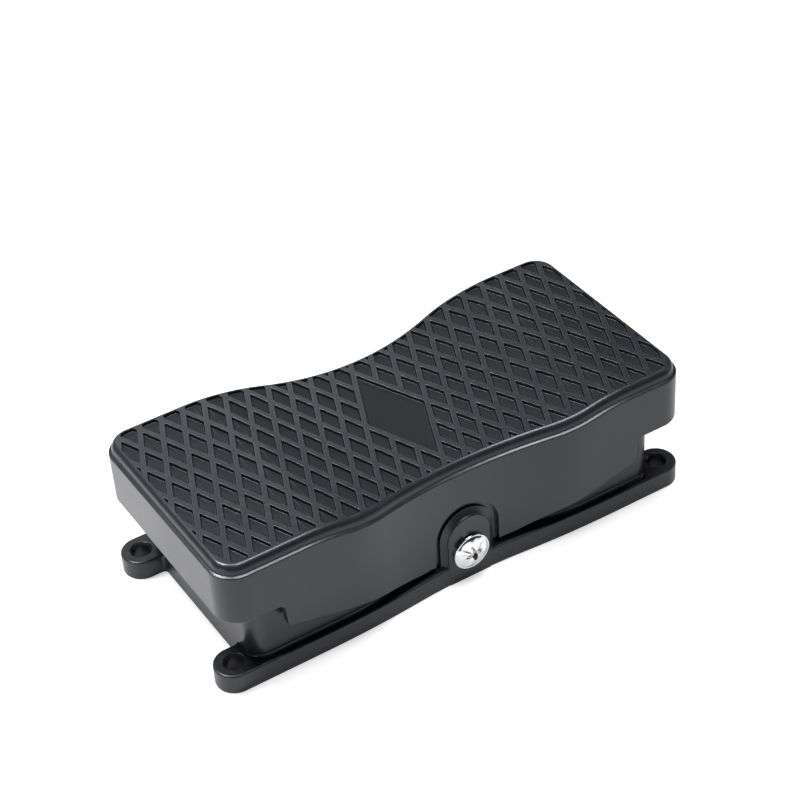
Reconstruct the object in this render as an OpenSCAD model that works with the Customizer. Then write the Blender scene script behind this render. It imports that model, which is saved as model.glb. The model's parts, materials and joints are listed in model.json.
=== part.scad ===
// See-saw foot switch: a waisted treadle pedal that rocks on a low screw-down housing
// and presses one of two snap-action switches. Millimetres, +Z up, X along the length.
// Origin: middle of the underside. The near long side, with the front pivot screw, faces -Y.

/* [Housing] */
// Width over the side walls, at the pivot
base_waist = 46.8; // [45:0.2:48]
// How far the walls stand above the switches
wall_rise = 2.5; // [2:0.1:3]
// Gap between the right switch and its end wall
end_gap = 2.3; // [1.5:0.1:4]
// Gap between the cable clamp and its side wall
side_gap = 3.05; // [2.5:0.05:4]
// Thickness of the walls
base_wall = 2.4; // [2:0.1:2.8]
// Thickness of the floor
floor_thickness = 2.4; // [2:0.1:3]
// Outer radius of the wall corners
base_corner = 5; // [4:0.5:7]
// Thickness of the flange and the ears
flange_thickness = 5.8; // [5:0.1:6]
// How far the flanges stand out from the side walls, near the ends
flange_ledge = 2.1; // [1.8:0.1:2.4]
// Length of each half of the flange's waist
flange_reach = 44; // [36:1:50]
// How far the ear holes stand out from the end walls
ear_reach = 4; // [3.5:0.1:6]
// Radius of the ears
ear_radius = 5.3; // [4.8:0.1:6]
// Diameter of the ear holes
ear_hole = 4.8; // [4.2:0.1:5.5]
// Chamfer at the top of the ear holes
ear_chamfer = 0.5; // [0.2:0.1:0.8]

/* [Pedal] */
// How far the pedal stands out over each end wall
pedal_overhang = 7.6; // [7.2:0.1:9]
// Gap between the skirt and the side walls, near the ends
skirt_gap = 1.3; // [1.2:0.1:2]
// Gap between the skirt and the side walls, at the pivot
waist_gap = 0.7; // [0.6:0.1:1]
// Height of the pads under the top that press the switch levers
press_pad = 1.8; // [1.4:0.1:3]
// Depth of the dish in the middle
valley_depth = 4.3; // [2:0.1:5]
// Length of each half of the dish
valley_reach = 48; // [40:1:56]
// Length of each half of the waist
waist_reach = 36; // [34:1:42]
// Distance of the pivot from the middle of the length
pivot_x = 2.5; // [0:0.5:3]
// Radius of the corners, seen from above
pedal_corner = 7; // [6:0.5:8]
// Radius of the rounded top rim
rim_radius = 2.5; // [2:0.1:3]
// How far the rim stands out over the skirt
rim_lip = 0.6; // [0.4:0.1:0.8]
// Height of the straight edge under the rim's round
rim_edge = 0.5; // [0.3:0.1:1]
// Thickness of the skirt
skirt_thickness = 2.2; // [1.8:0.1:2.2]
// Thickness of the top
top_thickness = 2.8; // [2.4:0.1:3.2]
// Height of the skirt's edge at the ends
end_edge_z = 23.7; // [20:0.1:25]
// How far the steps in the skirt stand inside the end walls
step_inset = 8.5; // [6:0.1:12]
// Rise of the low skirt edge, from the pivot to the steps
skirt_rise = 10.3; // [9.5:0.1:12]
// Depth of the ribs under the top
rib_depth = 3; // [2:0.1:3.2]
// Thickness of the ribs under the top
rib_thickness = 1.8; // [1.4:0.1:2.4]
// Tilt of the pedal to each side, in degrees
tilt = 6; // [4:0.5:6]

/* [Tread] */
// Distance between neighbouring pockets along the length
tread_pitch_x = 6.16; // [5.6:0.02:7]
// Distance between neighbouring pockets across the width
tread_pitch_y = 14.3; // [13:0.1:16]
// Width of the ribs between the pockets
tread_rib = 1.5; // [1.2:0.1:1.8]
// Depth of the pockets
tread_depth = 0.9; // [0.5:0.1:1.1]
// Flat border between the rim's edge and the pockets
tread_border = 2.5; // [2.5:0.1:4]
// Pockets along each side of the bare middle diamond
badge_cells = 3; // [1:2:5]

/* [Pivot] */
// Height of the pivot above the ground
pivot_z = 9.2; // [9.2:0.1:9.8]
// Width of the lug's flat front
lug_width = 12.9; // [12:0.1:14]
// Height of the lug's flat front
lug_height = 20.4; // [19:0.1:21]
// Thickness of the lug
lug_thickness = 1.7; // [1.5:0.1:1.7]
// How far the lug spreads from its front to its back
lug_flare = 1.6; // [1:0.1:1.8]
// Diameter of the pivot screw's thread
screw_diameter = 4.8; // [4:0.1:5]
// Diameter of the pivot screw's head
screw_head = 10.5; // [9.5:0.1:11]
// Height of the pivot screw's head
screw_head_height = 2.6; // [2:0.1:3]
// Outer diameter of the sleeve that the skirt turns on
sleeve_diameter = 8; // [7:0.1:9]
// Size of the pivot nut across its flats
nut_flats = 8; // [7.5:0.1:8.5]
// Thickness of the pivot nut
nut_thickness = 4; // [3.5:0.1:4.5]
// Radius of the boss round the nut
nut_boss = 6.6; // [6.4:0.1:6.8]
// Depth of the boss, inward from the wall
nut_boss_depth = 5.2; // [5:0.1:6]

/* [Switches] */
// Length of a switch case
switch_length = 27.8; // [27:0.1:28.4]
// Height of a switch case
switch_height = 15.9; // [15.5:0.1:16.2]
// Thickness of a switch case
switch_thickness = 10.3; // [9.8:0.1:10.8]
// Distance from the pivot to the near end of a switch case
switch_x = 26; // [25:0.1:26.8]
// Height of a switch case's underside
switch_z = 9.6; // [9.4:0.1:10]
// Distance between a switch's mounting holes along its length
switch_hole_pitch = 22.2; // [21.8:0.1:22.6]
// Difference in height between a switch's mounting holes
switch_hole_rise = 10.3; // [10:0.1:10.6]
// Diameter of the screws that hold the switches
switch_screw = 2.9; // [2.6:0.1:3]
// Thickness of the bracket behind each switch
bracket_thickness = 2.6; // [2.2:0.1:3]
// Distance from a switch's outer end to its lever pin
lever_inset = 3.8; // [3.4:0.1:4.2]
// Distance from the lever pin to the middle of the lever's bent tip
lever_length = 20; // [19:0.1:20.4]
// Slope of the lever at rest, in degrees
lever_slope = 9; // [8:0.5:9.5]
// Radius of the lever's bent tip
lever_tip = 2.4; // [2:0.1:2.5]
// Thickness of the lever's strip
lever_thickness = 0.6; // [0.5:0.05:0.7]
// Width of the lever's strip
lever_width = 4; // [3.4:0.1:4.4]
// Distance from the lever pin to the plunger
plunger_x = 6.5; // [6:0.1:7]
// Diameter of the plunger
plunger_diameter = 2.6; // [2.2:0.1:3]
// Length of the plunger
plunger_length = 7; // [6.5:0.1:8]
// Width of a terminal blade
terminal_width = 6.3; // [4.8:0.1:6.3]
// Thickness of a terminal blade
terminal_thickness = 0.8; // [0.5:0.1:1]
// Length of a terminal blade
terminal_length = 6.4; // [5:0.1:6.6]

/* [Return springs] */
// Distance from the pivot to each spring
spring_x = 14; // [13.5:0.1:14.5]
// Mean radius of the coil
spring_radius = 4.5; // [4.3:0.1:4.8]
// Diameter of the wire
spring_wire = 1.1; // [0.9:0.1:1.2]
// Curls in each spring
spring_curls = 9; // [7:1:10]
// Height of the cup round each spring's foot
cup_height = 4; // [3:0.1:5]
// Depth of the spring pad under the pedal's top
pad_depth = 2.6; // [2:0.1:3]
// Length of the spigot inside each spring's head
spigot_length = 4; // [3:0.1:5]

/* [Wiring] */
// Bore of the grommet
grommet_bore = 5.4; // [4.6:0.1:5.8]
// Diameter of the grommet where it passes the wall
grommet_neck = 8; // [7.6:0.1:8.4]
// Diameter of the grommet's flanges
grommet_flange = 10.6; // [10.2:0.1:11]
// Thickness of each grommet flange
grommet_flange_thickness = 1.4; // [1:0.1:1.8]
// Length of the terminal block
block_length = 24; // [22:0.5:26]
// Width of the terminal block
block_width = 11; // [10:0.2:11.4]
// Height of the terminal block
block_height = 10; // [9:0.5:12]
// Distance between the terminal block's poles
block_pitch = 7; // [6.5:0.1:7.4]
// Distance of the cable clamp from the housing's end wall
clamp_inset = 14; // [13:0.5:16]
// Height of the cable gap under the clamp
clamp_gap = 6; // [5.6:0.1:6.4]
// Width of the clamp along the cable
clamp_width = 7; // [6:0.1:8]
// Distance between the clamp's screws
clamp_pitch = 11.5; // [11.2:0.1:13]
// Thickness of the clamp
clamp_thickness = 2.4; // [2:0.1:3]
// Diameter of the clamp's screws
clamp_screw = 2.9; // [2.5:0.1:3]

/* [Fits] */
// Gap between parts that move past each other
gap = 0.3; // [0.3:0.05:0.35]
// Gap on the radius between a shaft and its bore
bore_gap = 0.05; // [0.03:0.01:0.1]

/* [Hidden] */
overrun = 1;
facets = 48;
small_facets = 24;

// Share of each curve's reach over which it bends inward before it bends out again
waist_bend_share = 0.7;
valley_bend_share = 0.77;
flange_bend_share = 0.38;

// Radius of the clamp's bosses, as a share of the clamp screw's diameter
boss_share = 0.9;

// The housing is sized round its switches and clamp
inlet_y = switch_thickness / 2 + gap + clamp_screw + clamp_pitch / 2;
base_length = 2 * (pivot_x + switch_x + switch_length + end_gap + base_wall);
base_width = 2 * (inlet_y + clamp_pitch / 2 + clamp_screw + side_gap + base_wall);
base_height = switch_z + switch_height + wall_rise;
flange_width = base_width + 2 * flange_ledge;
ear_spacing_x = base_length + 2 * ear_reach;
ear_spacing_y = flange_width - 2 * ear_radius;

// Levers: the pin stands clear of the case, the bent tip clear of the pedal's pad
pin_radius = lever_thickness * 1.25;
eye_radius = pin_radius + bore_gap + lever_thickness;
lever_rise = eye_radius + gap;
hinge_x = switch_x + switch_length - lever_inset;
hinge_z = switch_z + switch_height + lever_rise;
tip_x = hinge_x - lever_length;
tip_z = hinge_z + lever_length * tan(lever_slope) + lever_tip / 2;
pad_z = tip_z + lever_tip + gap;

// The pedal is sized round the housing and the levers
pedal_length = base_length + 2 * pedal_overhang;
pedal_width = base_width + 2 * (skirt_gap + skirt_thickness + rim_lip);
pedal_waist = base_waist + 2 * (waist_gap + skirt_thickness + rim_lip);
pedal_height = pad_z + press_pad + top_thickness
    + valley_depth * (1 - ease(tip_x / valley_reach, valley_bend_share));
low_skirt_length = base_length - 2 * step_inset;
low_skirt_z = flange_thickness + gap;
land_y = pedal_waist / 2 - rim_lip;

// Pivot: lug, skirt, sleeve, wall and boss follow each other inward
flange_waist = 2 * (land_y + gap + lug_thickness);
lug_spread = lug_width / 2 + lug_flare;
lug_front_y = flange_half(pivot_x + lug_width / 2);
lug_back_y = lug_front_y - lug_thickness;
sleeve_length = lug_back_y - base_waist / 2;
skirt_boss = sleeve_diameter / 2 + sleeve_diameter / 6;
wall_inner_y = base_waist / 2 - base_wall;
boss_inner_y = wall_inner_y - nut_boss_depth;

// Switches, grommet and clamp
switch_mid_x = switch_x + switch_length / 2;
switch_mid_z = switch_z + switch_height / 2;
bracket_y = switch_thickness / 2;
screw_bore = screw_diameter / 2 + bore_gap;
switch_bore = switch_screw / 2 + bore_gap;
clamp_bore = clamp_screw / 2 + bore_gap;
inlet_z = floor_thickness + grommet_flange / 2 + gap;
clamp_x = base_length / 2 - clamp_inset;
clamp_boss_height = clamp_gap - floor_thickness / 2;
clamp_boss_top = floor_thickness + clamp_boss_height;

// Rise from 0 in the middle of a waist or dish to 1 at its end, smooth throughout
function ease(u, bend) = u >= 1 ? 1 : u < bend ? u * u / bend : 1 - (1 - u) * (1 - u) / (1 - bend);
function side_half(x, wide, waist, reach, bend) =
    (wide - (wide - waist) * (1 - ease(abs(x - pivot_x) / reach, bend))) / 2;
function flange_half(x) = side_half(x, flange_width, flange_waist, flange_reach, flange_bend_share);
function top_z(x) =
    pedal_height - valley_depth * (1 - ease(abs(x - pivot_x) / valley_reach, valley_bend_share));

// Waisted outline with round corners, as [length, wide, waist, reach, bend, corner radius]
pedal_plan = [pedal_length, pedal_width, pedal_waist, waist_reach, waist_bend_share, pedal_corner];
wall_plan = [base_length, base_width, base_waist, waist_reach, waist_bend_share, base_corner];
side_steps = 36;
corner_steps = 5;

function plan_half(plan, x) = side_half(x, plan[1], plan[2], plan[3], plan[4]);

// Near edge of an outline from left to right, drawn in by inset
function near_edge(plan, inset) =
    let (cx = plan[0] / 2 - plan[5], r = plan[5] - inset)
    concat(
        [for (k = [0:corner_steps]) let (a = 180 + 90 * k / corner_steps)
            [-cx + r * cos(a), -(plan_half(plan, -cx) - plan[5]) + r * sin(a)]],
        [for (k = [1:side_steps - 1]) let (x = cx * (2 * k / side_steps - 1))
            [x, -(plan_half(plan, x) - inset)]],
        [for (k = [0:corner_steps]) let (a = 270 + 90 * k / corner_steps)
            [cx + r * cos(a), -(plan_half(plan, cx) - plan[5]) + r * sin(a)]]);

function mirrored(points) = [for (k = [len(points) - 1:-1:0]) [points[k][0], -points[k][1]]];
function outline(plan, inset) = let (near = near_edge(plan, inset)) concat(near, mirrored(near));

module plan_shape(plan, inset) polygon(outline(plan, inset));

// Solid through a stack of equal outlines; its flat strips across the top follow the dish
module lofted(rings) {
    n = len(rings[0]);
    last = (len(rings) - 1) * n;
    sides = [for (k = [0:len(rings) - 2]) for (j = [0:n - 1])
        let (a = k * n + j, b = k * n + (j + 1) % n, c = b + n, d = a + n) each [[a, d, c], [a, c, b]]];
    top = [for (j = [0:n / 2 - 2]) let (m = n - 1 - j)
        [last + m, last + m - 1, last + j + 1, last + j]];
    polyhedron(points = [for (ring = rings) each ring],
        faces = concat([[for (j = [0:n - 1]) j]], sides, top), convexity = 6);
}

// Ring of a pedal outline at a constant drop below the top, or at one height
function ring_below(inset, drop) = [for (p = outline(pedal_plan, inset)) [p[0], p[1], top_z(p[0]) - drop]];
function ring_at(inset, z) = [for (p = outline(pedal_plan, inset)) [p[0], p[1], z]];

// Profile along the length, as a band between two depths below the top
module length_band(half, upper, lower, y_half) {
    steps = 2 * side_steps;
    stations = [for (k = [0:steps]) half * (2 * k / steps - 1)];
    rotate([90, 0, 0])
        linear_extrude(2 * y_half, center = true)
            polygon(concat([for (x = stations) [x, top_z(x) - lower]],
                [for (k = [steps:-1:0]) [stations[k], top_z(stations[k]) - upper]]));
}

module both_sides() {
    children();
    mirror([0, 1, 0]) children();
}

// Places something at the right switch, or mirrors it about the pivot to the left one
module at_switch(right) {
    translate([pivot_x, 0, 0]) mirror([right ? 0 : 1, 0, 0]) children();
}

module along_y(y, length, radius, sides = facets) {
    translate([0, y, 0]) rotate([-90, 0, 0]) cylinder(h = length, r = radius, $fn = sides);
}

module flange_outline() {
    cx = ear_spacing_x / 2;
    near = [for (k = [0:side_steps]) let (x = cx * (2 * k / side_steps - 1)) [x, -flange_half(x)]];
    polygon(concat(near, mirrored(near)));
}

module base_outline() {
    intersection() {
        flange_outline();
        square([base_length, flange_width + overrun], center = true);
    }
    for (x = [-1, 1], y = [-1, 1]) {
        translate([x * ear_spacing_x / 2, y * ear_spacing_y / 2]) circle(r = ear_radius, $fn = facets);
        translate([x * (ear_spacing_x / 2 - ear_radius), y * ear_spacing_y / 2])
            square([2 * ear_radius, 2 * ear_radius], center = true);
    }
}

module lug_arch(widen) {
    half = lug_width / 2 + widen;
    translate([pivot_x, lug_height - lug_width / 2]) circle(r = half, $fn = facets);
    translate([pivot_x - half, 0]) square([2 * half, lug_height - lug_width / 2]);
}

// Arched lug: a flat front that spreads towards its back
module lug() {
    translate([0, -lug_back_y, 0]) rotate([90, 0, 0])
        hull() {
            linear_extrude(lug_thickness / 4) lug_arch(lug_flare);
            linear_extrude(lug_thickness) lug_arch(0);
        }
}

module ear_holes() {
    for (x = [-1, 1], y = [-1, 1]) translate([x * ear_spacing_x / 2, y * ear_spacing_y / 2, 0]) {
        translate([0, 0, -overrun]) cylinder(h = flange_thickness + 2 * overrun, d = ear_hole, $fn = facets);
        translate([0, 0, flange_thickness - ear_chamfer])
            cylinder(h = 2 * ear_chamfer, r1 = ear_hole / 2, r2 = ear_hole / 2 + 2 * ear_chamfer, $fn = facets);
    }
}

module spring_cup() {
    outer = spring_radius + spring_wire / 2 + gap + base_wall / 2;
    difference() {
        cylinder(h = floor_thickness + cup_height, r = outer, $fn = facets);
        translate([0, 0, floor_thickness])
            cylinder(h = cup_height + overrun, r = outer - base_wall / 2, $fn = facets);
    }
}

module switch_holes(radius) {
    for (side = [-1, 1])
        translate([switch_mid_x + side * switch_hole_pitch / 2, 0, switch_mid_z + side * switch_hole_rise / 2])
            along_y(-base_width / 4, base_width / 2, radius, small_facets);
}

module switch_bracket() {
    difference() {
        translate([switch_x, bracket_y, floor_thickness / 2])
            cube([switch_length, bracket_thickness, switch_z + switch_height - floor_thickness / 2 - gap]);
        switch_holes(switch_bore);
    }
}

module clamp_boss(bore) {
    difference() {
        cylinder(h = clamp_boss_top, r = clamp_screw * boss_share, $fn = small_facets);
        translate([0, 0, floor_thickness]) cylinder(h = clamp_boss_top, r = bore, $fn = small_facets);
    }
}

module base_housing() color([0.17, 0.18, 0.2]) {
    difference() {
        union() {
            linear_extrude(flange_thickness) base_outline();
            linear_extrude(base_height) plan_shape(wall_plan, 0);
        }
        translate([0, 0, floor_thickness]) linear_extrude(base_height) plan_shape(wall_plan, base_wall);
        ear_holes();
        both_sides() translate([pivot_x, 0, pivot_z]) {
            along_y(-base_width, base_width, screw_bore);
            along_y(-lug_back_y, lug_back_y - base_waist / 2, skirt_boss + gap);
        }
        translate([base_length / 2 - base_wall - overrun, -inlet_y, inlet_z]) rotate([0, 90, 0])
            cylinder(h = base_wall + 2 * overrun, r = grommet_neck / 2 + bore_gap, $fn = facets);
    }
    both_sides() difference() {
        union() {
            lug();
            translate([pivot_x, 0, pivot_z])
                along_y(-wall_inner_y - base_wall / 2, nut_boss_depth + base_wall / 2, nut_boss);
        }
        translate([pivot_x, 0, pivot_z]) {
            along_y(-base_width, base_width, screw_bore);
            along_y(-boss_inner_y - nut_thickness - bore_gap, nut_boss_depth,
                nut_flats / sqrt(3) + bore_gap, 6);
        }
    }
    for (side = [-1, 1]) translate([pivot_x + side * spring_x, 0, 0]) spring_cup();
    for (right = [false, true]) at_switch(right) switch_bracket();
    for (side = [-1, 1]) translate([clamp_x, -inlet_y + side * clamp_pitch / 2, 0]) clamp_boss(clamp_bore);
    for (side = [-1, 1]) translate([pivot_x, side * block_pitch / 2, floor_thickness / 2])
        cylinder(h = floor_thickness / 2 + block_height / 2, r = floor_thickness / 2, $fn = small_facets);
}

// Rhombus of the tread with its sides drawn in by half a rib; cells counts the pockets it spans
module rhombus(cells) {
    half_x = cells * tread_pitch_x / 2;
    half_y = cells * tread_pitch_y / 2;
    shrink = 1 - tread_rib / 2 * norm([half_x, half_y]) / (half_x * half_y);
    polygon([[-half_x * shrink, 0], [0, -half_y * shrink], [half_x * shrink, 0], [0, half_y * shrink]]);
}

// Pockets on the crossings of a diagonal grid, with the middle ones joined into one diamond
module tread_pattern() {
    columns = floor(pedal_length / tread_pitch_x);
    rows = ceil(pedal_width / tread_pitch_y);
    intersection() {
        plan_shape(pedal_plan, tread_border);
        for (m = [-columns:columns], n = [-rows:rows])
            if ((m + n) % 2 == 0 && abs(m) + abs(n) >= badge_cells)
                translate([m * tread_pitch_x / 2, n * tread_pitch_y / 2]) rhombus(1);
    }
    rhombus(badge_cells);
}

module tread_pockets() {
    intersection() {
        linear_extrude(pedal_height + overrun) tread_pattern();
        length_band(pedal_length / 2, -overrun, tread_depth, pedal_width);
    }
}

// What lies below the skirt's edge: a shallow V from the pivot, with a step up at each end
module below_skirt() {
    half = low_skirt_length / 2;
    knee = lug_spread + lug_width / 2;
    knee_z = low_skirt_z + knee * tan(tilt);
    rotate([90, 0, 0])
        linear_extrude(2 * pedal_width, center = true) {
            polygon([[-pedal_length, -overrun], [pedal_length, -overrun], [pedal_length, end_edge_z],
                [half + rim_radius, end_edge_z], [half, end_edge_z - rim_radius],
                [half, low_skirt_z + skirt_rise], [pivot_x + knee, knee_z], [pivot_x, low_skirt_z],
                [pivot_x - knee, knee_z], [-half, low_skirt_z + skirt_rise],
                [-half, end_edge_z - rim_radius], [-half - rim_radius, end_edge_z], [-pedal_length, end_edge_z]]);
        }
}

fillet_steps = 4;

module pedal_shell() {
    lip_drop = rim_radius + rim_edge;
    difference() {
        lofted(concat(
            [ring_at(rim_lip, 0), ring_below(rim_lip, lip_drop + rim_lip), ring_below(0, lip_drop)],
            [for (k = [0:fillet_steps]) let (a = 90 * k / fillet_steps)
                ring_below(rim_radius * (1 - cos(a)), rim_radius * (1 - sin(a)))]));
        lofted([ring_at(rim_lip + skirt_thickness, -overrun), ring_below(rim_lip + skirt_thickness, top_thickness)]);
        tread_pockets();
        below_skirt();
    }
}

// Stop ribs meet the end walls' tops at full tilt: their places turned back to the level pedal
stop_rise = base_height + gap + rib_thickness / 2 * sin(tilt) - pivot_z;
function stop_reach(side) = base_length / 2 - base_wall / 2 - side * pivot_x;
function stop_x(side) = pivot_x + side * (stop_reach(side) * cos(tilt) - stop_rise * sin(tilt));
function stop_z(side) = pivot_z + stop_reach(side) * sin(tilt) + stop_rise * cos(tilt);

module cross_rib(x, z) {
    y = side_half(x, pedal_width, pedal_waist, waist_reach, waist_bend_share) - skirt_thickness;
    translate([x - rib_thickness / 2, -y, z]) cube([rib_thickness, 2 * y, top_z(x) - top_thickness / 2 - z]);
}

module pedal_cover() color([0.16, 0.17, 0.19]) {
    lug_sweep = lug_flare + (lug_height + lug_flare - pivot_z) * sin(tilt) + gap;
    difference() {
        union() {
            pedal_shell();
            both_sides() translate([pivot_x, 0, pivot_z]) along_y(-land_y, skirt_thickness, skirt_boss);
        }
        both_sides() translate([0, -land_y, 0]) rotate([90, 0, 0]) linear_extrude(pedal_width) lug_arch(lug_sweep);
        translate([pivot_x, 0, pivot_z]) along_y(-pedal_width, 2 * pedal_width, sleeve_diameter / 2 + bore_gap);
    }
    for (side = [-1, 1]) {
        cross_rib(stop_x(side), stop_z(side));
        cross_rib(pivot_x + side * (switch_x - 2 * rib_thickness),
            top_z(pivot_x + switch_x) - top_thickness - rib_depth);
        translate([0, side * base_width / 4, 0])
            length_band(stop_x(1), top_thickness / 2, top_thickness + rib_depth, rib_thickness / 2);
        translate([pivot_x + side * spring_x, 0, 0]) {
            z = top_z(pivot_x + spring_x) - top_thickness - pad_depth;
            translate([0, 0, z])
                cylinder(h = pad_depth + top_thickness / 2, r = spring_radius + spring_wire, $fn = facets);
            translate([0, 0, z - spigot_length])
                cylinder(h = spigot_length + overrun, r = spring_radius - spring_wire / 2 - 2 * gap, $fn = facets);
        }
    }
    for (right = [false, true]) at_switch(right)
        translate([tip_x - 2 * lever_tip, -switch_thickness / 2, pad_z])
            cube([4 * lever_tip, switch_thickness, top_z(pivot_x + tip_x) - top_thickness / 2 - pad_z]);
}

// Pan-head screw along +Y, its head's flat face at 0
module pan_screw(diameter, head, head_height, length) {
    dome = head_height / 2;
    slot = head / 8;
    difference() {
        rotate([90, 0, 0]) rotate_extrude($fn = facets)
            polygon(concat([[0, 0], [head / 2, 0]],
                [for (k = [0:fillet_steps * 2]) let (a = 90 * k / (fillet_steps * 2))
                    [head / 2 * (1 - (1 - cos(a)) * 0.5) - head / 4 * sin(a) * sin(a), head_height - dome + dome * sin(a)]],
                [[0, head_height]]));
        for (turn = [0, 90]) rotate([0, turn, 0])
            translate([-head / 4, -head_height - overrun, -slot / 2]) cube([head / 2, dome + overrun, slot]);
    }
    along_y(0, length, diameter / 2, small_facets);
}

module pivot_screw() color([0.78, 0.78, 0.8])
    translate([pivot_x, -lug_front_y, pivot_z])
        pan_screw(screw_diameter, screw_head, screw_head_height, lug_front_y - boss_inner_y + overrun);

module pivot_sleeve() color([0.6, 0.6, 0.62])
    translate([pivot_x, 0, pivot_z]) difference() {
        along_y(-lug_back_y, sleeve_length, sleeve_diameter / 2);
        along_y(-lug_front_y, lug_front_y, screw_bore);
    }

module pivot_nut() color([0.7, 0.66, 0.5])
    translate([pivot_x, 0, pivot_z]) difference() {
        along_y(-boss_inner_y - nut_thickness, nut_thickness, nut_flats / sqrt(3), 6);
        along_y(-lug_front_y, lug_front_y, screw_bore);
    }

module pivot_screw_front() pivot_screw();
module pivot_screw_rear() mirror([0, 1, 0]) pivot_screw();
module pivot_sleeve_front() pivot_sleeve();
module pivot_sleeve_rear() mirror([0, 1, 0]) pivot_sleeve();
module pivot_nut_front() pivot_nut();
module pivot_nut_rear() mirror([0, 1, 0]) pivot_nut();

plunger_at_x = hinge_x - plunger_x;
plunger_top = hinge_z + plunger_x * tan(lever_slope) - lever_thickness / 2 / cos(lever_slope) - gap
    - plunger_diameter / 2 * tan(lever_slope);
plunger_travel = plunger_x * tan(2 * lever_slope) - plunger_x * tan(lever_slope);

module switch_case(right) color([0.1, 0.1, 0.11]) at_switch(right) {
    ear = (switch_thickness - lever_width) / 2 - gap;
    difference() {
        union() {
            translate([switch_x, -switch_thickness / 2, switch_z])
                cube([switch_length, switch_thickness, switch_height]);
            for (side = [-1, 1]) translate([hinge_x, side * (switch_thickness - ear) / 2, 0])
                translate([0, -ear / 2, 0]) {
                    translate([0, 0, hinge_z]) along_y(0, ear, 2 * pin_radius, small_facets);
                    translate([-2 * pin_radius, 0, hinge_z - lever_rise - overrun])
                        cube([4 * pin_radius, ear, lever_rise + overrun]);
                }
        }
        translate([hinge_x, 0, hinge_z]) along_y(-switch_thickness, 2 * switch_thickness, pin_radius + bore_gap, small_facets);
        translate([plunger_at_x, 0, plunger_top - plunger_length - 2 * plunger_travel])
            cylinder(h = plunger_length * 2, r = plunger_diameter / 2 + bore_gap, $fn = small_facets);
        switch_holes(switch_bore);
    }
}

module switch_plunger(right) color([0.75, 0.2, 0.15]) at_switch(right)
    translate([plunger_at_x, 0, plunger_top - plunger_length]) {
        cylinder(h = plunger_length - plunger_diameter / 4, d = plunger_diameter, $fn = small_facets);
        translate([0, 0, plunger_length - plunger_diameter / 4])
            cylinder(h = plunger_diameter / 4, r1 = plunger_diameter / 2, r2 = plunger_diameter / 4, $fn = small_facets);
    }

// Spring-steel strip with an eye round the pin and a round bent tip that slides on the pedal's pad
module switch_lever(right) color([0.72, 0.72, 0.74]) at_switch(right)
    rotate([90, 0, 0]) linear_extrude(lever_width, center = true) {
        difference() {
            union() {
                translate([hinge_x, hinge_z]) circle(r = eye_radius, $fn = small_facets);
                translate([hinge_x, hinge_z]) rotate(180 - lever_slope)
                    translate([0, -lever_thickness / 2]) square([lever_length - lever_tip / 2, lever_thickness]);
            }
            translate([hinge_x, hinge_z]) circle(r = pin_radius + bore_gap, $fn = small_facets);
        }
        difference() {
            translate([tip_x, tip_z]) circle(r = lever_tip, $fn = facets);
            translate([tip_x, tip_z]) circle(r = lever_tip - lever_thickness, $fn = facets);
            translate([tip_x - 2 * lever_tip, tip_z - 2 * lever_tip]) square([2 * lever_tip, 2 * lever_tip]);
        }
    }

module lever_pin(right) color([0.6, 0.6, 0.62]) at_switch(right)
    translate([hinge_x, 0, hinge_z]) along_y(-switch_thickness / 2, switch_thickness, pin_radius, small_facets);

module terminals(right) color([0.8, 0.66, 0.35]) at_switch(right)
    for (k = [0:2]) translate([switch_x + terminal_width * (0.5 + 1.3 * k), 0, switch_z - terminal_length])
        difference() {
            translate([0, -terminal_thickness / 2, 0]) cube([terminal_width, terminal_thickness, terminal_length]);
            translate([terminal_width / 2, 0, terminal_length / 3])
                along_y(-terminal_width, 2 * terminal_width, terminal_thickness, small_facets);
        }

module switch_screws(right) color([0.7, 0.7, 0.72]) at_switch(right)
    for (side = [-1, 1])
        translate([switch_mid_x + side * switch_hole_pitch / 2, -switch_thickness / 2,
            switch_mid_z + side * switch_hole_rise / 2])
            pan_screw(switch_screw, 2 * switch_screw, switch_screw * 0.7, switch_thickness + bracket_thickness);

module switch_case_left() switch_case(false);
module switch_case_right() switch_case(true);
module switch_plunger_left() switch_plunger(false);
module switch_plunger_right() switch_plunger(true);
module switch_lever_left() switch_lever(false);
module switch_lever_right() switch_lever(true);
module lever_pin_left() lever_pin(false);
module lever_pin_right() lever_pin(true);
module terminals_left() terminals(false);
module terminals_right() terminals(true);
module switch_screws_left() switch_screws(false);
module switch_screws_right() switch_screws(true);

// Compression spring: one wire that climbs at a steady pitch between two straight ends
spring_low = floor_thickness;
spring_high = top_z(pivot_x + spring_x) - top_thickness - pad_depth;
curl_rings = 8;
wire_sides = 6;
spring_steps = spring_curls * curl_rings;
function spring_path() =
    let (low = spring_low + spring_wire, high = spring_high - spring_wire)
    concat([[spring_radius, 0, spring_low]],
        [for (k = [0:spring_steps]) let (a = 360 * k / curl_rings)
            [spring_radius * cos(a), spring_radius * sin(a), low + (high - low) * k / spring_steps]],
        [[spring_radius, 0, spring_high]]);
spring_points = spring_path();
spring_gap = min([for (k = [1:spring_steps - curl_rings]) for (j = [-1:1])
    norm(spring_points[k + curl_rings + j] - spring_points[k])]) - spring_wire;
echo(least_gap_between_spring_curls = spring_gap);

function wire_ring(points, k) =
    let (last = len(points) - 1,
        along = k == 0 || k == last ? [0, 0, 1] : points[k + 1] - points[k - 1],
        t = along / norm(along),
        out = [points[k][0], points[k][1], 0] / norm([points[k][0], points[k][1]]),
        n = (out - t * (out * t)) / norm(out - t * (out * t)),
        b = cross(t, n))
    [for (s = [0:wire_sides - 1]) let (a = 360 * s / wire_sides)
        points[k] + spring_wire / 2 * (n * cos(a) + b * sin(a))];

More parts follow.
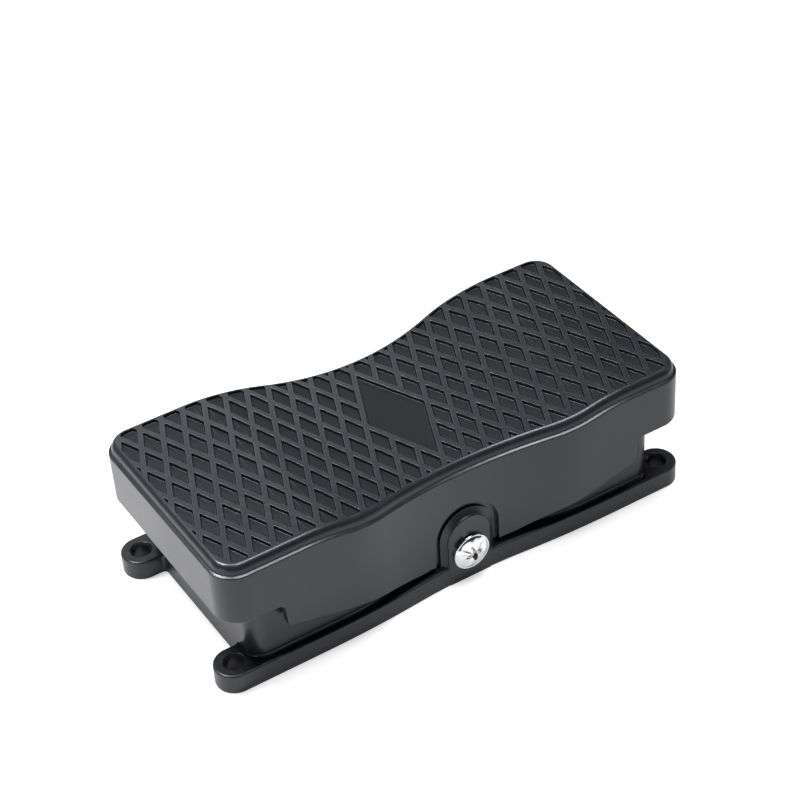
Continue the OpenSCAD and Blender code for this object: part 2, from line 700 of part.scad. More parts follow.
module return_spring() color([0.66, 0.67, 0.7]) {
    count = len(spring_points);
    rings = [for (k = [0:count - 1]) wire_ring(spring_points, k)];
    polyhedron(points = [for (ring = rings) each ring],
        faces = concat([[for (s = [0:wire_sides - 1]) s]],
            [for (k = [0:count - 2]) for (s = [0:wire_sides - 1])
                let (a = k * wire_sides + s, b = k * wire_sides + (s + 1) % wire_sides)
                each [[a, a + wire_sides, b + wire_sides], [a, b + wire_sides, b]]],
            [[for (s = [wire_sides - 1:-1:0]) (count - 1) * wire_sides + s]]),
        convexity = 10);
}

module return_spring_left() translate([pivot_x - spring_x, 0, 0]) return_spring();
module return_spring_right() translate([pivot_x + spring_x, 0, 0]) return_spring();

module terminal_block() color([0.85, 0.84, 0.8]) difference() {
    translate([pivot_x - block_width / 2, -block_length / 2, floor_thickness])
        cube([block_width, block_length, block_height]);
    for (k = [-1:1]) translate([pivot_x, k * block_pitch, floor_thickness + block_height / 2]) {
        rotate([0, 90, 0]) cylinder(h = 2 * block_width, r = block_pitch / 4, center = true, $fn = small_facets);
        cylinder(h = block_height, r = block_pitch / 4 + gap, $fn = small_facets);
    }
    for (side = [-1, 1]) translate([pivot_x, side * block_pitch / 2, 0])
        cylinder(h = floor_thickness + block_height / 2 + gap, r = floor_thickness / 2 + bore_gap, $fn = small_facets);
}

module terminal_block_screws() color([0.75, 0.73, 0.6])
    for (k = [-1:1]) translate([pivot_x, k * block_pitch, floor_thickness + block_height / 2])
        difference() {
            cylinder(h = block_height / 3, r = block_pitch / 4, $fn = small_facets);
            translate([-block_pitch, -block_pitch / 16, block_height / 3 - block_height / 8])
                cube([2 * block_pitch, block_pitch / 8, block_height]);
        }

module cable_grommet() color([0.08, 0.08, 0.09])
    translate([base_length / 2 - base_wall, -inlet_y, inlet_z]) rotate([0, 90, 0]) rotate_extrude($fn = facets)
        polygon([[grommet_bore / 2, -grommet_flange_thickness],
            [grommet_flange / 2, -grommet_flange_thickness], [grommet_flange / 2, 0], [grommet_neck / 2, 0],
            [grommet_neck / 2, base_wall], [grommet_flange / 2, base_wall],
            [grommet_flange / 2 - grommet_flange_thickness / 2, base_wall + grommet_flange_thickness],
            [grommet_bore / 2, base_wall + grommet_flange_thickness]]);

module cable_clamp() color([0.2, 0.2, 0.22]) difference() {
    translate([clamp_x - clamp_width / 2, -inlet_y - clamp_pitch / 2 - clamp_screw, clamp_boss_top])
        cube([clamp_width, clamp_pitch + 2 * clamp_screw, clamp_thickness]);
    for (side = [-1, 1]) translate([clamp_x, -inlet_y + side * clamp_pitch / 2, clamp_boss_top - overrun])
        cylinder(h = clamp_thickness + 2 * overrun, r = clamp_bore, $fn = small_facets);
}

module cable_clamp_screws() color([0.7, 0.7, 0.72])
    for (side = [-1, 1])
        translate([clamp_x, -inlet_y + side * clamp_pitch / 2, clamp_boss_top + clamp_thickness])
            rotate([-90, 0, 0]) pan_screw(clamp_screw, 2 * clamp_screw, clamp_screw * 0.7, clamp_boss_top);

base_housing();
pedal_cover();
pivot_screw_front();
pivot_screw_rear();
pivot_sleeve_front();
pivot_sleeve_rear();
pivot_nut_front();
pivot_nut_rear();
switch_case_left();
switch_case_right();
switch_plunger_left();
switch_plunger_right();
switch_lever_left();
switch_lever_right();
lever_pin_left();
lever_pin_right();
terminals_left();
terminals_right();
switch_screws_left();
switch_screws_right();
return_spring_left();
return_spring_right();
terminal_block();
terminal_block_screws();
cable_grommet();
cable_clamp();
cable_clamp_screws();
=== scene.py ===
import bpy, json, math
import numpy as np
from mathutils import Matrix, Vector


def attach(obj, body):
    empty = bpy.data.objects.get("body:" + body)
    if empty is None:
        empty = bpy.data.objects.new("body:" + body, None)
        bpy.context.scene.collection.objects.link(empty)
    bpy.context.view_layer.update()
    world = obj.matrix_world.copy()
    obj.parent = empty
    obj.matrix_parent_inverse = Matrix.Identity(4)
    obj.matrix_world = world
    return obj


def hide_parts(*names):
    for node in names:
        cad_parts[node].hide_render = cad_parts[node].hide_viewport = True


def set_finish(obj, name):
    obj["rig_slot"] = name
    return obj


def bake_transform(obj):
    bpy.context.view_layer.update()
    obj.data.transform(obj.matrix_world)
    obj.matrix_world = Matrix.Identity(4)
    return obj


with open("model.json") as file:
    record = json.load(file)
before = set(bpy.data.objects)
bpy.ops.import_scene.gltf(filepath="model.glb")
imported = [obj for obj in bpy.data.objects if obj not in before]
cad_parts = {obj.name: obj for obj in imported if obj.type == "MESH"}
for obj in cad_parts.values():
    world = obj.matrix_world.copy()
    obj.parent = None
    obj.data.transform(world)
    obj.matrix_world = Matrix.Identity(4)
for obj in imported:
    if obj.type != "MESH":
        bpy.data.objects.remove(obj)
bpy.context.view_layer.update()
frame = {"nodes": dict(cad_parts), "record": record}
print("frame loaded:", len(frame["nodes"]), "nodes")

mm = 0.001  # lengths are in millimetres unless a note says metres, and become metres when a mesh is made

# the photo's camera: its direction in degrees, how far off and to the side it stands, and its lens
view = dict(azimuth=-30.254, elevation=38.262, roll=-3.779, distance=565.4, slideX=-0.949, slideY=32.041,
            focalPixels=2123.5, framePixels=800.0, sensor=36.0, nearest=0.01)  # nearest is in metres


def placeCamera():
    az, el, roll = (math.radians(view[k]) for k in ("azimuth", "elevation", "roll"))
    back = Vector((math.sin(az) * math.cos(el), -math.cos(az) * math.cos(el), math.sin(el)))
    level = Vector((math.cos(az), math.sin(az), 0))
    upright = back.cross(level)
    right = math.cos(roll) * level + math.sin(roll) * upright
    up = -math.sin(roll) * level + math.cos(roll) * upright
    place = back * view["distance"] + right * view["slideX"] + up * view["slideY"]
    camera = bpy.data.objects.new("camera", bpy.data.cameras.new("camera"))
    camera.matrix_world = Matrix.Translation(place * mm) @ Matrix((right, up, back)).transposed().to_4x4()
    camera.data.sensor_width = view["sensor"]
    camera.data.lens = view["focalPixels"] / view["framePixels"] * view["sensor"]
    camera.data.clip_start = view["nearest"]
    bpy.context.scene.collection.objects.link(camera)
    bpy.context.scene.camera = camera


placeCamera()

# curves that the pedal and the housing share: waist, dish and flange are centred on the pivot
shape = dict(pivotX=2.5, pivotZ=9.2, waistReach=36.0, waistBend=0.7, valleyReach=48.0, valleyBend=0.77,
             flangeReach=44.0, flangeBend=0.38)
pedal = dict(length=137.2, wide=64.6, waist=53.8, corner=7.0, height=40.98, valley=4.3, wall=2.8,
             ledge=0.85, rimIn=1.65, rimDown=2.3, top=2.8, edgeRound=0.5, endEdge=23.7, lowEdge=6.1,
             kneeX=14.5, kneeZ=7.62, stepX=52.5, stepZ=16.4, stepRound=2.5, stepLead=0.25, footIn=0.9,
             footDrop=0.22, footRise=0.95, levelBeyond=0.3, slopeStep=0.05, landY=26.3)
housing = dict(length=122.0, wide=56.4, waist=46.8, corner=5.0, height=28.0, wall=2.4, floor=2.4,
               topRound=0.5, foot=1.1, footFrom=5.0, footSunk=0.15, bottomRound=0.3, cove=0.8, coveMid=0.25,
               flange=5.8, flangeWide=60.6, flangeWaist=56.6, flangeRound=0.55, earX=65.0, earY=25.0,
               ear=5.3, earBlend=1.0, earHole=2.4, earChamfer=0.55, wallStations=120, flangeStations=150)


def ease(u, bend):
    u = np.minimum(u, 1.0)
    return np.where(u < bend, u * u / bend, 1 - (1 - u) ** 2 / (1 - bend))


def halfWidth(x, wide, waist, reach, bend):
    return (wide - (wide - waist) * (1 - ease(np.abs(x - shape["pivotX"]) / reach, bend))) / 2


def pedalHalf(x):
    return halfWidth(x, pedal["wide"], pedal["waist"], shape["waistReach"], shape["waistBend"])


def wallHalf(x):
    return halfWidth(x, housing["wide"], housing["waist"], shape["waistReach"], shape["waistBend"])


def flangeHalf(x):
    return halfWidth(x, housing["flangeWide"], housing["flangeWaist"], shape["flangeReach"],
                     shape["flangeBend"])


def topZ(x):
    u = np.abs(x - shape["pivotX"]) / shape["valleyReach"]
    return pedal["height"] - pedal["valley"] * (1 - ease(u, shape["valleyBend"]))


# tools that make meshes
def meshPiece(name, points, faces, scale=mm):
    mesh = bpy.data.meshes.new(name)
    mesh.from_pydata((np.asarray(points, float) * scale).tolist(), [], [list(map(int, f)) for f in faces])
    mesh.validate()
    mesh.update()
    piece = bpy.data.objects.new(name, mesh)
    bpy.context.scene.collection.objects.link(piece)
    return piece


def ringFaces(count, n):
    return [(k * n + j, k * n + (j + 1) % n, (k + 1) * n + (j + 1) % n, (k + 1) * n + j)
            for k in range(count - 1) for j in range(n)]


def stripCap(start, n, up):
    faces = [(start + j, start + j + 1, start + n - 2 - j, start + n - 1 - j) for j in range(n // 2 - 1)]
    return faces if up else [f[::-1] for f in faces]


def fanCap(ring, hub, start, up):
    n = len(ring)
    faces = [(start + j, start + (j + 1) % n, hub) for j in range(n)]
    return faces if up else [f[::-1] for f in faces]


def loft(name, rings, strips=True):
    # a closed skin through equal rings, with strips across its two mirrored ends or one flat face on each
    n = len(rings[0])
    faces = ringFaces(len(rings), n)
    last = (len(rings) - 1) * n
    if strips:
        faces += stripCap(0, n, False) + stripCap(last, n, True)
    else:
        faces += [tuple(range(n))[::-1], tuple(range(last, last + n))]
    return meshPiece(name, np.vstack(rings), faces)


def lathe(name, profile, sides=72, ripple=None):
    # profile runs from the axis and back to it, or is a closed loop, as (radius, height)
    profile = np.asarray(profile, float)
    turn = np.linspace(0, 2 * math.pi, sides, endpoint=False)
    lift = ripple or (lambda r, z, a: 0 * a)
    rings = [np.column_stack((r * np.cos(turn), r * np.sin(turn), z + lift(r, z, turn)))
             for r, z in profile]
    if profile[0][0] > 0:
        faces = ringFaces(len(rings), sides)
        last = (len(rings) - 1) * sides
        faces += [(last + j, last + (j + 1) % sides, (j + 1) % sides, j) for j in range(sides)]
        return meshPiece(name, np.vstack(rings), faces)
    points = np.vstack([[[0, 0, profile[0][1]]]] + rings[1:-1] + [[[0, 0, profile[-1][1]]]])
    count = len(rings) - 2
    faces = [tuple(v + 1 for v in f) for f in ringFaces(count, sides)]
    faces += [(0, 1 + (j + 1) % sides, 1 + j) for j in range(sides)]
    end, last = len(points) - 1, 1 + (count - 1) * sides
    faces += [(end, last + j, last + (j + 1) % sides) for j in range(sides)]
    return meshPiece(name, points, faces)


def grow(outline, by):
    # moves each corner out along its mitre
    edge = np.roll(outline, -1, 0) - outline
    edge /= np.maximum(np.linalg.norm(edge, axis=1), 1e-9)[:, None]
    out = np.column_stack((edge[:, 1], -edge[:, 0]))
    both = out + np.roll(out, 1, 0)
    both /= np.maximum(np.linalg.norm(both, axis=1), 1e-9)[:, None]
    spread = np.maximum((both * out).sum(1), 0.38)  # keeps a sharp corner from running far out
    return outline + both * (by / spread)[:, None]


def atHeight(flat, z):
    # z is one height, or one for each point
    return np.column_stack((flat, np.broadcast_to(z, len(flat))))


def prism(name, outline, low, high, bevel=0.0):
    outline = np.asarray(outline, float)
    levels = ((0, low), (0, high))
    if bevel:
        levels = ((bevel, low), (0, low + bevel), (0, high - bevel), (bevel, high))
    return loft(name, [atHeight(grow(outline, -inset), z) for inset, z in levels], strips=False)


def arc(centre, radius, start, end, steps):
    a = np.radians(np.linspace(start, end, steps + 1))
    return np.column_stack((centre[0] + radius * np.cos(a), centre[1] + radius * np.sin(a)))


def circle(centre, radius, steps=64):
    return arc(centre, radius, 0, 360, steps)[:-1]


def roundOver(across, down, count, start=0, end=90):
    # (inset, drop) pairs round an edge, from its side at 0 degrees to its top at 90
    return [(across * (1 - math.cos(a)), down * (1 - math.sin(a)))
            for a in np.radians(np.linspace(start, end, count))]


def turned(piece, matrix):
    piece.data.transform(matrix)
    if matrix.determinant() < 0:
        piece.data.flip_normals()
    return piece


def moved(piece, x, y):
    return turned(piece, Matrix.Translation(Vector((x, y, 0)) * mm))


def laidAlongX(piece, y, z):
    # turns a lathed piece's axis from Z to X, then moves it to y and z
    place = Matrix.Translation(Vector((0, y, z)) * mm)
    return turned(piece, place @ Matrix.Rotation(math.radians(90), 4, "Y"))


def alongY(outline, low, high, name="bar"):
    # outline is in X and Z; the bar runs from y = low to y = high
    bar = prism(name, outline, low, high)
    return turned(bar, Matrix(((1, 0, 0, 0), (0, 0, 1, 0), (0, 1, 0, 0), (0, 0, 0, 1))))


def box(low, high, bevel=0.25, name="block"):
    (x0, y0, z0), (x1, y1, z1) = low, high
    return prism(name, [(x0, y0), (x1, y0), (x1, y1), (x0, y1)], z0, z1, bevel)


def combine(piece, others, operation):
    for other in others:
        step = piece.modifiers.new("combine", "BOOLEAN")
        step.object, step.operation, step.solver = other, operation, "MANIFOLD"
    bpy.context.view_layer.update()
    done = bpy.data.meshes.new_from_object(piece.evaluated_get(bpy.context.evaluated_depsgraph_get()))
    piece.modifiers.clear()
    old, piece.data = piece.data, done
    done.name = old.name
    bpy.data.meshes.remove(old)
    for other in others:
        mesh = other.data
        bpy.data.objects.remove(other)
        bpy.data.meshes.remove(mesh)
    return piece


def softenNormals(piece, angle=38.0, known=None):
    # each corner takes the area-weighted normal of the faces that meet there within the angle;
    # known(face normals, corner places) may give a smooth surface's true normals and where to use them
    mesh = piece.data
    mesh.shade_smooth()
    count = len(mesh.polygons)
    normal, area = np.zeros(count * 3), np.zeros(count)
    mesh.polygons.foreach_get("normal", normal)
    mesh.polygons.foreach_get("area", area)
    normal = normal.reshape(-1, 3)
    limit = math.cos(math.radians(angle))
    owner = np.zeros(len(mesh.loops), int)
    for f in mesh.polygons:
        owner[f.loop_start:f.loop_start + f.loop_total] = f.index
    vertex = np.zeros(len(mesh.loops), int)
    mesh.loops.foreach_get("vertex_index", vertex)
    place = np.zeros(len(mesh.vertices) * 3)
    mesh.vertices.foreach_get("co", place)
    place = place.reshape(-1, 3)
    order = np.argsort(vertex, kind="stable")
    result = np.zeros((len(mesh.loops), 3))
    starts = np.flatnonzero(np.r_[True, np.diff(vertex[order]) > 0])
    for s, e in zip(starts, np.r_[starts[1:], len(order)]):
        loops = order[s:e]
        n = normal[owner[loops]]
        near = (n @ n.T) > limit
        total = near @ (n * area[owner[loops]][:, None])
        result[loops] = total / np.maximum(np.linalg.norm(total, axis=1), 1e-12)[:, None]
    if known is not None:
        better, use = known(normal[owner], place[vertex])
        result[use] = better[use]
    mesh.normals_split_custom_set(result.tolist())


# pedal cover: the points along its sides, closer together at the steps in the skirt
sides = dict(stations=150, beforeStep=1.2, afterStep=3.2, stepStations=34)
# (inset, drop) from the inner wall and the underside, and from the outer wall and the top's edge
coveProfile = ((1.0, 0), (0.3, 0.3), (0, 1.0))
ledgeProfile = ((0, 4.3), (0, 3.2), (0.02, 3.05), (0.09, 2.92), (0.20, 2.84), (0.45, 2.74), (0.70, 2.64),
                (0.80, 2.56), (0.85, 2.4))


def sideStations(cornerX):
    along = np.linspace(-cornerX, cornerX, sides["stations"])[1:-1]
    step = np.linspace(pedal["stepX"] - sides["beforeStep"], pedal["stepX"] + sides["afterStep"],
                       sides["stepStations"])
    return np.unique(np.round(np.concatenate((along, -step, step)), 3))


def planOutline(length, half, corner, inset, stations, cornerSteps=10):
    cx, r = length / 2 - corner, corner - inset
    side = np.column_stack((stations, -(half(stations) - inset)))
    left = arc((-cx, -(half(np.array(-cx)) - corner)), r, 180, 270, cornerSteps)
    right = arc((cx, -(half(np.array(cx)) - corner)), r, 270, 360, cornerSteps)
    near = np.vstack((left, side, right))
    return np.vstack((near, near[::-1] * (1, -1)))


def skirtEdge():
    # the low edge as (x, z): level at the pivot, a shallow V, then a rounded step up at each end
    p, px = pedal, shape["pivotX"]
    footX, footZ = p["stepX"] - p["footIn"], p["stepZ"] - p["footDrop"]
    edge = [(px, p["lowEdge"])]
    for side in (-1, 1):
        arm = [(px + side * p["kneeX"], p["kneeZ"]), (side * footX, footZ)]
        arm += [(side * (footX + p["footIn"] * math.sin(a)), footZ + p["footRise"] * (1 - math.cos(a)))
                for a in np.radians(np.linspace(15, 90, 6))]
        arm += [(side * (p["stepX"] + p["stepLead"] + out), p["endEdge"] - drop)
                for out, drop in roundOver(p["stepRound"], p["stepRound"], 12)]
        arm += [(side * p["length"], p["endEdge"])]
        edge = arm[::-1] + edge if side < 0 else edge + arm
    return np.array(edge)


def buildPedal():
    p = pedal
    stations = sideStations(p["length"] / 2 - p["corner"])
    edgeX, edgeZ = skirtEdge().T
    x = planOutline(p["length"], pedalHalf, p["corner"], 0, stations)[:, 0]
    z = np.interp(x, edgeX, edgeZ)
    s = p["slopeStep"]
    slope = (np.interp(x + s, edgeX, edgeZ) - np.interp(x - s, edgeX, edgeZ)) / (2 * s)
    slope[np.abs(x) > p["stepX"] + p["stepRound"] + p["levelBeyond"]] = 0
    lean = np.column_stack((-slope, np.ones_like(slope))) / np.sqrt(1 + slope ** 2)[:, None]

    def edgeRing(inset, rise):
        # the ring leans with the skirt's edge, so that the edge keeps its thickness on a slope
        shifted = x + lean[:, 0] * rise
        ring = planOutline(p["length"], pedalHalf, p["corner"], inset, stations)
        side = np.sign(ring[:, 1])
        straight = np.abs(x) <= p["length"] / 2 - p["corner"]
        ring[straight, 0] = shifted[straight]
        ring[straight, 1] = side[straight] * (pedalHalf(shifted[straight]) - inset)
        return np.column_stack((ring, z + lean[:, 1] * rise))

    def topRing(inset, drop):
        ring = planOutline(p["length"], pedalHalf, p["corner"], inset, stations)
        return np.column_stack((ring, topZ(ring[:, 0]) - drop))

    r, inner = p["edgeRound"], p["wall"]
    rings = [topRing(inner + i, p["top"] + d) for i, d in coveProfile]
    rings += [edgeRing(inner - d, i) for i, d in roundOver(r, r, 5, 90, 0)]
    rings += [edgeRing(d, i) for i, d in roundOver(r, r, 5)]
    # the wall runs up to a fine rounded ledge, and the fillet of the rim starts inside it
    rings += [topRing(i, d) for i, d in ledgeProfile]
    rings += [topRing(p["ledge"] + i, d) for i, d in roundOver(p["rimIn"], p["rimDown"], 13)]
    return loft("pedalCover", rings)


# tread: pockets on the crossings of a diagonal grid, with one bare diamond, badge cells wide, in the middle
tread = dict(pitchX=6.16, pitchY=14.3, rib=1.5, depth=0.9, border=2.5, badge=3, cornerRound=0.34,
             cornerShare=0.4, straight=160, smallest=0.35, closest=0.06, narrow=0.7, over=1.5,
             floorBand=(0.7, 1.1), borderStations=240, badgeStations=26, badgeTrim=0.03, badgeBlunt=0.12)


def areaOf(outline):
    x, y = outline[:, 0], outline[:, 1]
    return 0.5 * np.sum(x * np.roll(y, -1) - np.roll(x, -1) * y)


def clipToCell(border, cell):
    left = border
    for a, b in zip(cell, np.roll(cell, -1, 0)):
        if len(left) == 0:
            break
        side = (b[0] - a[0]) * (left[:, 1] - a[1]) - (b[1] - a[1]) * (left[:, 0] - a[0])
        kept = []
        for k in range(len(left)):
            p, q, sp, sq = left[k - 1], left[k], side[k - 1], side[k]
            if (sp >= 0) != (sq >= 0):
                kept.append(p + (q - p) * sp / (sp - sq))
            if sq >= 0:
                kept.append(q)
        left = np.array(kept)
    return left


def roundCorners(outline):
    points = []
    n = len(outline)
    for k in range(n):
        before, here, after = outline[k - 1], outline[k], outline[(k + 1) % n]
        a, b = before - here, after - here
        la, lb = np.linalg.norm(a), np.linalg.norm(b)
        bend = math.degrees(math.acos(max(-1, min(1, float(a @ b) / (la * lb)))))
        if bend > tread["straight"]:
            points.append(here)
            continue
        cut = min(tread["cornerRound"], la * tread["cornerShare"], lb * tread["cornerShare"])
        start, end = here + a / la * cut, here + b / lb * cut
        points += [start, (start + 2 * here + end) / 4, end]
    return np.array(points)


def pocketCutter(name, outline, symmetric=False):
    # (offset from the outline, height over the top); a narrow pocket draws in less at its floor
    around = np.linalg.norm(np.roll(outline, -1, 0) - outline, axis=1).sum()
    room = min(1.0, 2 * areaOf(outline) / around / tread["narrow"])
    d, over = tread["depth"], tread["over"]
    profile = ((-0.24, -d), (-0.18, -d + 0.03), (-0.12, -d + 0.12), (-0.09, -d + 0.25), (-0.03, -0.2),
               (0.0, -0.12), (0.05, -0.045), (0.12, 0.0), (0.3, 0.03), (0.3, over))
    rings = []
    for offset, z in profile:
        flat = grow(outline, offset * (room if offset < 0 else 1))
        rings.append(atHeight(flat, topZ(flat[:, 0]) + z))
    if symmetric:
        return loft(name, rings)
    n = len(outline)
    faces = ringFaces(len(rings), n)
    points = np.vstack(rings)
    for ring, start, z, up in ((rings[0], 0, -d, False), (rings[-1], (len(rings) - 1) * n, over, True)):
        middle = ring[:, :2].mean(0)
        faces += fanCap(ring, len(points), start, up)
        points = np.vstack((points, [[*middle, float(topZ(middle[0])) + z]]))
    return meshPiece(name, points, faces)


def rhombus(cells):
    hx, hy = cells * tread["pitchX"] / 2, cells * tread["pitchY"] / 2
    keep = 1 - tread["rib"] / 2 * math.hypot(hx, hy) / (hx * hy)
    return np.array([(-hx, 0), (0, -hy), (hx, 0), (0, hy)]) * keep


def badgeOutline():
    # many points along its sides, so that its floor follows the dish, and blunt ends
    t = tread
    left, low, right = rhombus(t["badge"])[:3]
    first, last = left + (low - left) * t["badgeTrim"], right + (low - right) * t["badgeTrim"]
    near = np.vstack((np.linspace(first, low, t["badgeStations"])[:-1],
                      np.linspace(low, last, t["badgeStations"])))
    near[0, 0] -= t["badgeBlunt"]
    near[-1, 0] += t["badgeBlunt"]
    return np.vstack((near, near[::-1] * (1, -1)))


def treadCutters():
    t = tread
    cx = pedal["length"] / 2 - pedal["corner"]
    border = planOutline(pedal["length"], pedalHalf, pedal["corner"], t["border"],
                         np.linspace(-cx, cx, t["borderStations"])[1:-1], cornerSteps=8)
    columns, rows = int(pedal["length"] / t["pitchX"]) + 1, int(pedal["wide"] / t["pitchY"]) + 2
    cutters = []
    for m in range(-columns, columns + 1):
        for n in range(-rows, rows + 1):
            if (m + n) % 2 or abs(m) + abs(n) < t["badge"]:
                continue
            cut = clipToCell(border, rhombus(1) + (m * t["pitchX"] / 2, n * t["pitchY"] / 2))
            if len(cut) >= 3:
                cut = cut[np.linalg.norm(cut - np.roll(cut, 1, 0), axis=1) > t["closest"]]
            if len(cut) < 3 or areaOf(cut) < t["smallest"]:
                continue
            cutters.append(pocketCutter("pocket", roundCorners(cut)))
    cutters.append(pocketCutter("badge", badgeOutline(), symmetric=True))
    print("tread pockets:", len(cutters))
    return cutters


lug = dict(width=12.9, height=20.4, thickness=1.7, flare=1.6, flareBend=1.15, back=26.713, backStep=0.32,
           frontRound=0.45, clearance=1.66)
pivot = dict(screw=2.45, sleeve=4.05, boss=5.33, bossDepth=2.2, bossGap=0.3, nutBoss=6.6, nutBossDepth=5.2,
             nutFlats=8.1, nutDepth=4.05)
farOut = 40.0  # where a cutter ends, well outside the part
# ribs, spring pads with spigots, and the feet that press the levers; ribs and feet reach into the top
underside = dict(stopRibs=((-57.45, 34.9), (57.48, 34.32)), innerRibX=22.4, innerRibZ=32.6, rib=0.9,
                 ribInWall=0.3, ribInTop=1.6, longRibX=57.4, longRibY=14.1, longRibLow=3.0, longRibHigh=1.2,
                 longRibStations=60, padX=14, padDepth=2.6, padInTop=4.0, pad=5.6, spigot=3.35,
                 spigotLength=4.0, footX=30, footLong=4.8, footWide=5.15, footZ=34.27, footInTop=1.4)


def archOutline(grown, low=0.0, steps=24):
    half, px = lug["width"] / 2 + grown, shape["pivotX"]
    centre = (px, lug["height"] - lug["width"] / 2)
    return np.vstack(([(px - half, low), (px + half, low)], arc(centre, half, 0, 180, steps)))


def springPad(x):
    u = underside
    z = float(topZ(x)) - pedal["top"] - u["padDepth"]
    r, s, high, low = u["pad"], u["spigot"], z + u["padInTop"], z - u["spigotLength"]
    profile = ((0, high), (r - 0.25, high), (r, high - 0.3), (r, z + 0.3), (r - 0.3, z), (s, z),
               (s, low + 0.4), (s - 0.4, low), (0, low))
    return moved(lathe("pad", profile[::-1], 48), x, 0)


def pedalUnderside():
    p, u, px = pedal, underside, shape["pivotX"]
    parts = []
    innerRibs = tuple((px + side * u["innerRibX"], u["innerRibZ"]) for side in (-1, 1))
    for x, z in u["stopRibs"] + innerRibs:
        y = float(pedalHalf(x)) - p["wall"] + u["ribInWall"]
        parts.append(box((x - u["rib"], -y, z), (x + u["rib"], y, float(topZ(x)) - u["ribInTop"])))
    for side in (-1, 1):
        stations = np.linspace(-u["longRibX"], u["longRibX"], u["longRibStations"])
        under = topZ(stations) - p["top"]
        outline = np.vstack((np.column_stack((stations, under - u["longRibLow"])),
                             np.column_stack((stations, under + u["longRibHigh"]))[::-1]))
        y = side * u["longRibY"]
        parts.append(alongY(outline, y - u["rib"], y + u["rib"]))
        parts.append(springPad(px + side * u["padX"]))
        x = px + side * u["footX"]
        parts.append(box((x - u["footLong"], -u["footWide"], u["footZ"]),
                         (x + u["footLong"], u["footWide"], float(topZ(x)) - u["footInTop"])))
    return parts


cover = buildPedal()
axis, land, depth = (shape["pivotX"], shape["pivotZ"]), pedal["landY"], pivot["bossDepth"]
bosses = [alongY(circle(axis, pivot["boss"]), *span)
          for span in ((-land, depth - land), (land - depth, land))]
combine(cover, bosses + pedalUnderside(), "UNION")
recess = archOutline(lug["flare"] + lug["clearance"], low=-1.0)
combine(cover, [alongY(recess, -farOut, -land), alongY(recess, land, farOut),
                alongY(circle(axis, pivot["sleeve"]), -farOut, farOut)] + treadCutters(), "DIFFERENCE")


def pedalTopNormals(faceNormal, place):
    # the top's ribs count as true within 3.4 degrees, the pockets' coarser floors within 14
    x = place[:, 0] / mm
    slope = (topZ(x + 0.01) - topZ(x - 0.01)) / 0.02
    true = np.column_stack((-slope, np.zeros_like(x), np.ones_like(x)))
    true /= np.linalg.norm(true, axis=1)[:, None]
    sunk = topZ(x) - place[:, 2] / mm
    low, high = tread["floorBand"]
    pocketFloor = (sunk > low) & (sunk < high)
    return true, (faceNormal * true).sum(1) > np.where(pocketFloor, 0.97, 0.9982)


softenNormals(cover, known=pedalTopNormals)


def insideTop(place):
    slack = 0.05 - tread["border"]
    return ((np.abs(place[:, 0]) < pedal["length"] / 2 + slack) &
            (np.abs(place[:, 1]) < pedalHalf(place[:, 0]) + slack))


def markFloors(piece):
    # 1 is the etched floor of a small pocket, 2 the smooth floor of the middle one, 3 a pocket's wall; all
    # three are later coloured darker than the ribs as painted shade in the recesses
    count = len(piece.data.polygons)
    centre, normal = np.zeros(count * 3), np.zeros(count * 3)
    piece.data.polygons.foreach_get("center", centre)
    piece.data.polygons.foreach_get("normal", normal)
    centre, normal = centre.reshape(-1, 3) / mm, normal.reshape(-1, 3)
    sunk = topZ(centre[:, 0]) - centre[:, 2]
    low, high = tread["floorBand"]
    floor = (normal[:, 2] > 0.9) & (sunk > low) & (sunk < high)
    badgeX, badgeY = tread["pitchX"] * tread["badge"] / 2, tread["pitchY"] * tread["badge"] / 2
    reach = np.abs(centre[:, 0]) / badgeX + np.abs(centre[:, 1]) / badgeY
    wall = (normal[:, 2] > -0.1) & (normal[:, 2] < 0.6) & (sunk > 0.05) & (sunk <= 1.0) & insideTop(centre)
    kind = np.where(floor, np.where(reach < 0.97, 2, 1), np.where(wall, 3, 0))
    return kind.astype(np.int32)


floorKinds = markFloors(cover)
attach(cover, "pedal")
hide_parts("pedal_cover")
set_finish(cover, "housing_plastic")
print("pedal cover:", len(cover.data.polygons), "faces")

# housing, and what stands inside it: pairs are (low, high) ends
inside = dict(sunk=1.0, springX=14, cup=6.55, cupBore=5.35, cupTop=6.4, bracketX=(26, 53.8),
              bracketY=(5.15, 7.75), bracketZ=(1.2, 25.2), clampX=47.0, clampY=5.75, clampBoss=2.61,
              clampBore=1.5, clampTop=7.2, pinY=3.5, pin=1.2, pinBore=0.3, pinFloor=7.0, pinTop=7.4,
              inWall=1.2, switchX=39.9, switchZ=17.55, switchHole=1.5, switchHoleX=11.1, switchHoleZ=5.15,
              switchHoleY=(4, 9), inletX=(56.5, 62), inletY=-14.1, inletZ=8.0, inlet=4.05)


def wallRing(inset, z, foot=0.0):
    cx = housing["length"] / 2 - housing["corner"]
    ring = planOutline(housing["length"], wallHalf, housing["corner"], inset,
                       np.linspace(-cx, cx, housing["wallStations"])[1:-1])
    if foot:
        out = grow(ring, 1.0) - ring
        ring = ring + out * (foot * out[:, 1:2] ** 2)
    return atHeight(ring, z)


def buildWalls():
    h = housing
    t, foot, w, bottom = h["topRound"], h["foot"], h["wall"], h["bottomRound"]
    rings = [wallRing(bottom, 0), wallRing(0, bottom), wallRing(0, h["footFrom"], foot)]
    rings += [wallRing(0, h["flange"] - h["footSunk"] + i, d) for i, d in roundOver(foot, foot, 7)]
    rings += [wallRing(i, h["height"] - d) for i, d in roundOver(t, t, 5)]
    rings += [wallRing(w - d, h["height"] - i) for i, d in roundOver(t, t, 5)]
    rings += [wallRing(w, h["floor"] + h["cove"]), wallRing(w + h["coveMid"], h["floor"] + h["coveMid"]),
              wallRing(w + h["cove"], h["floor"])]
    return loft("baseHousing", rings)


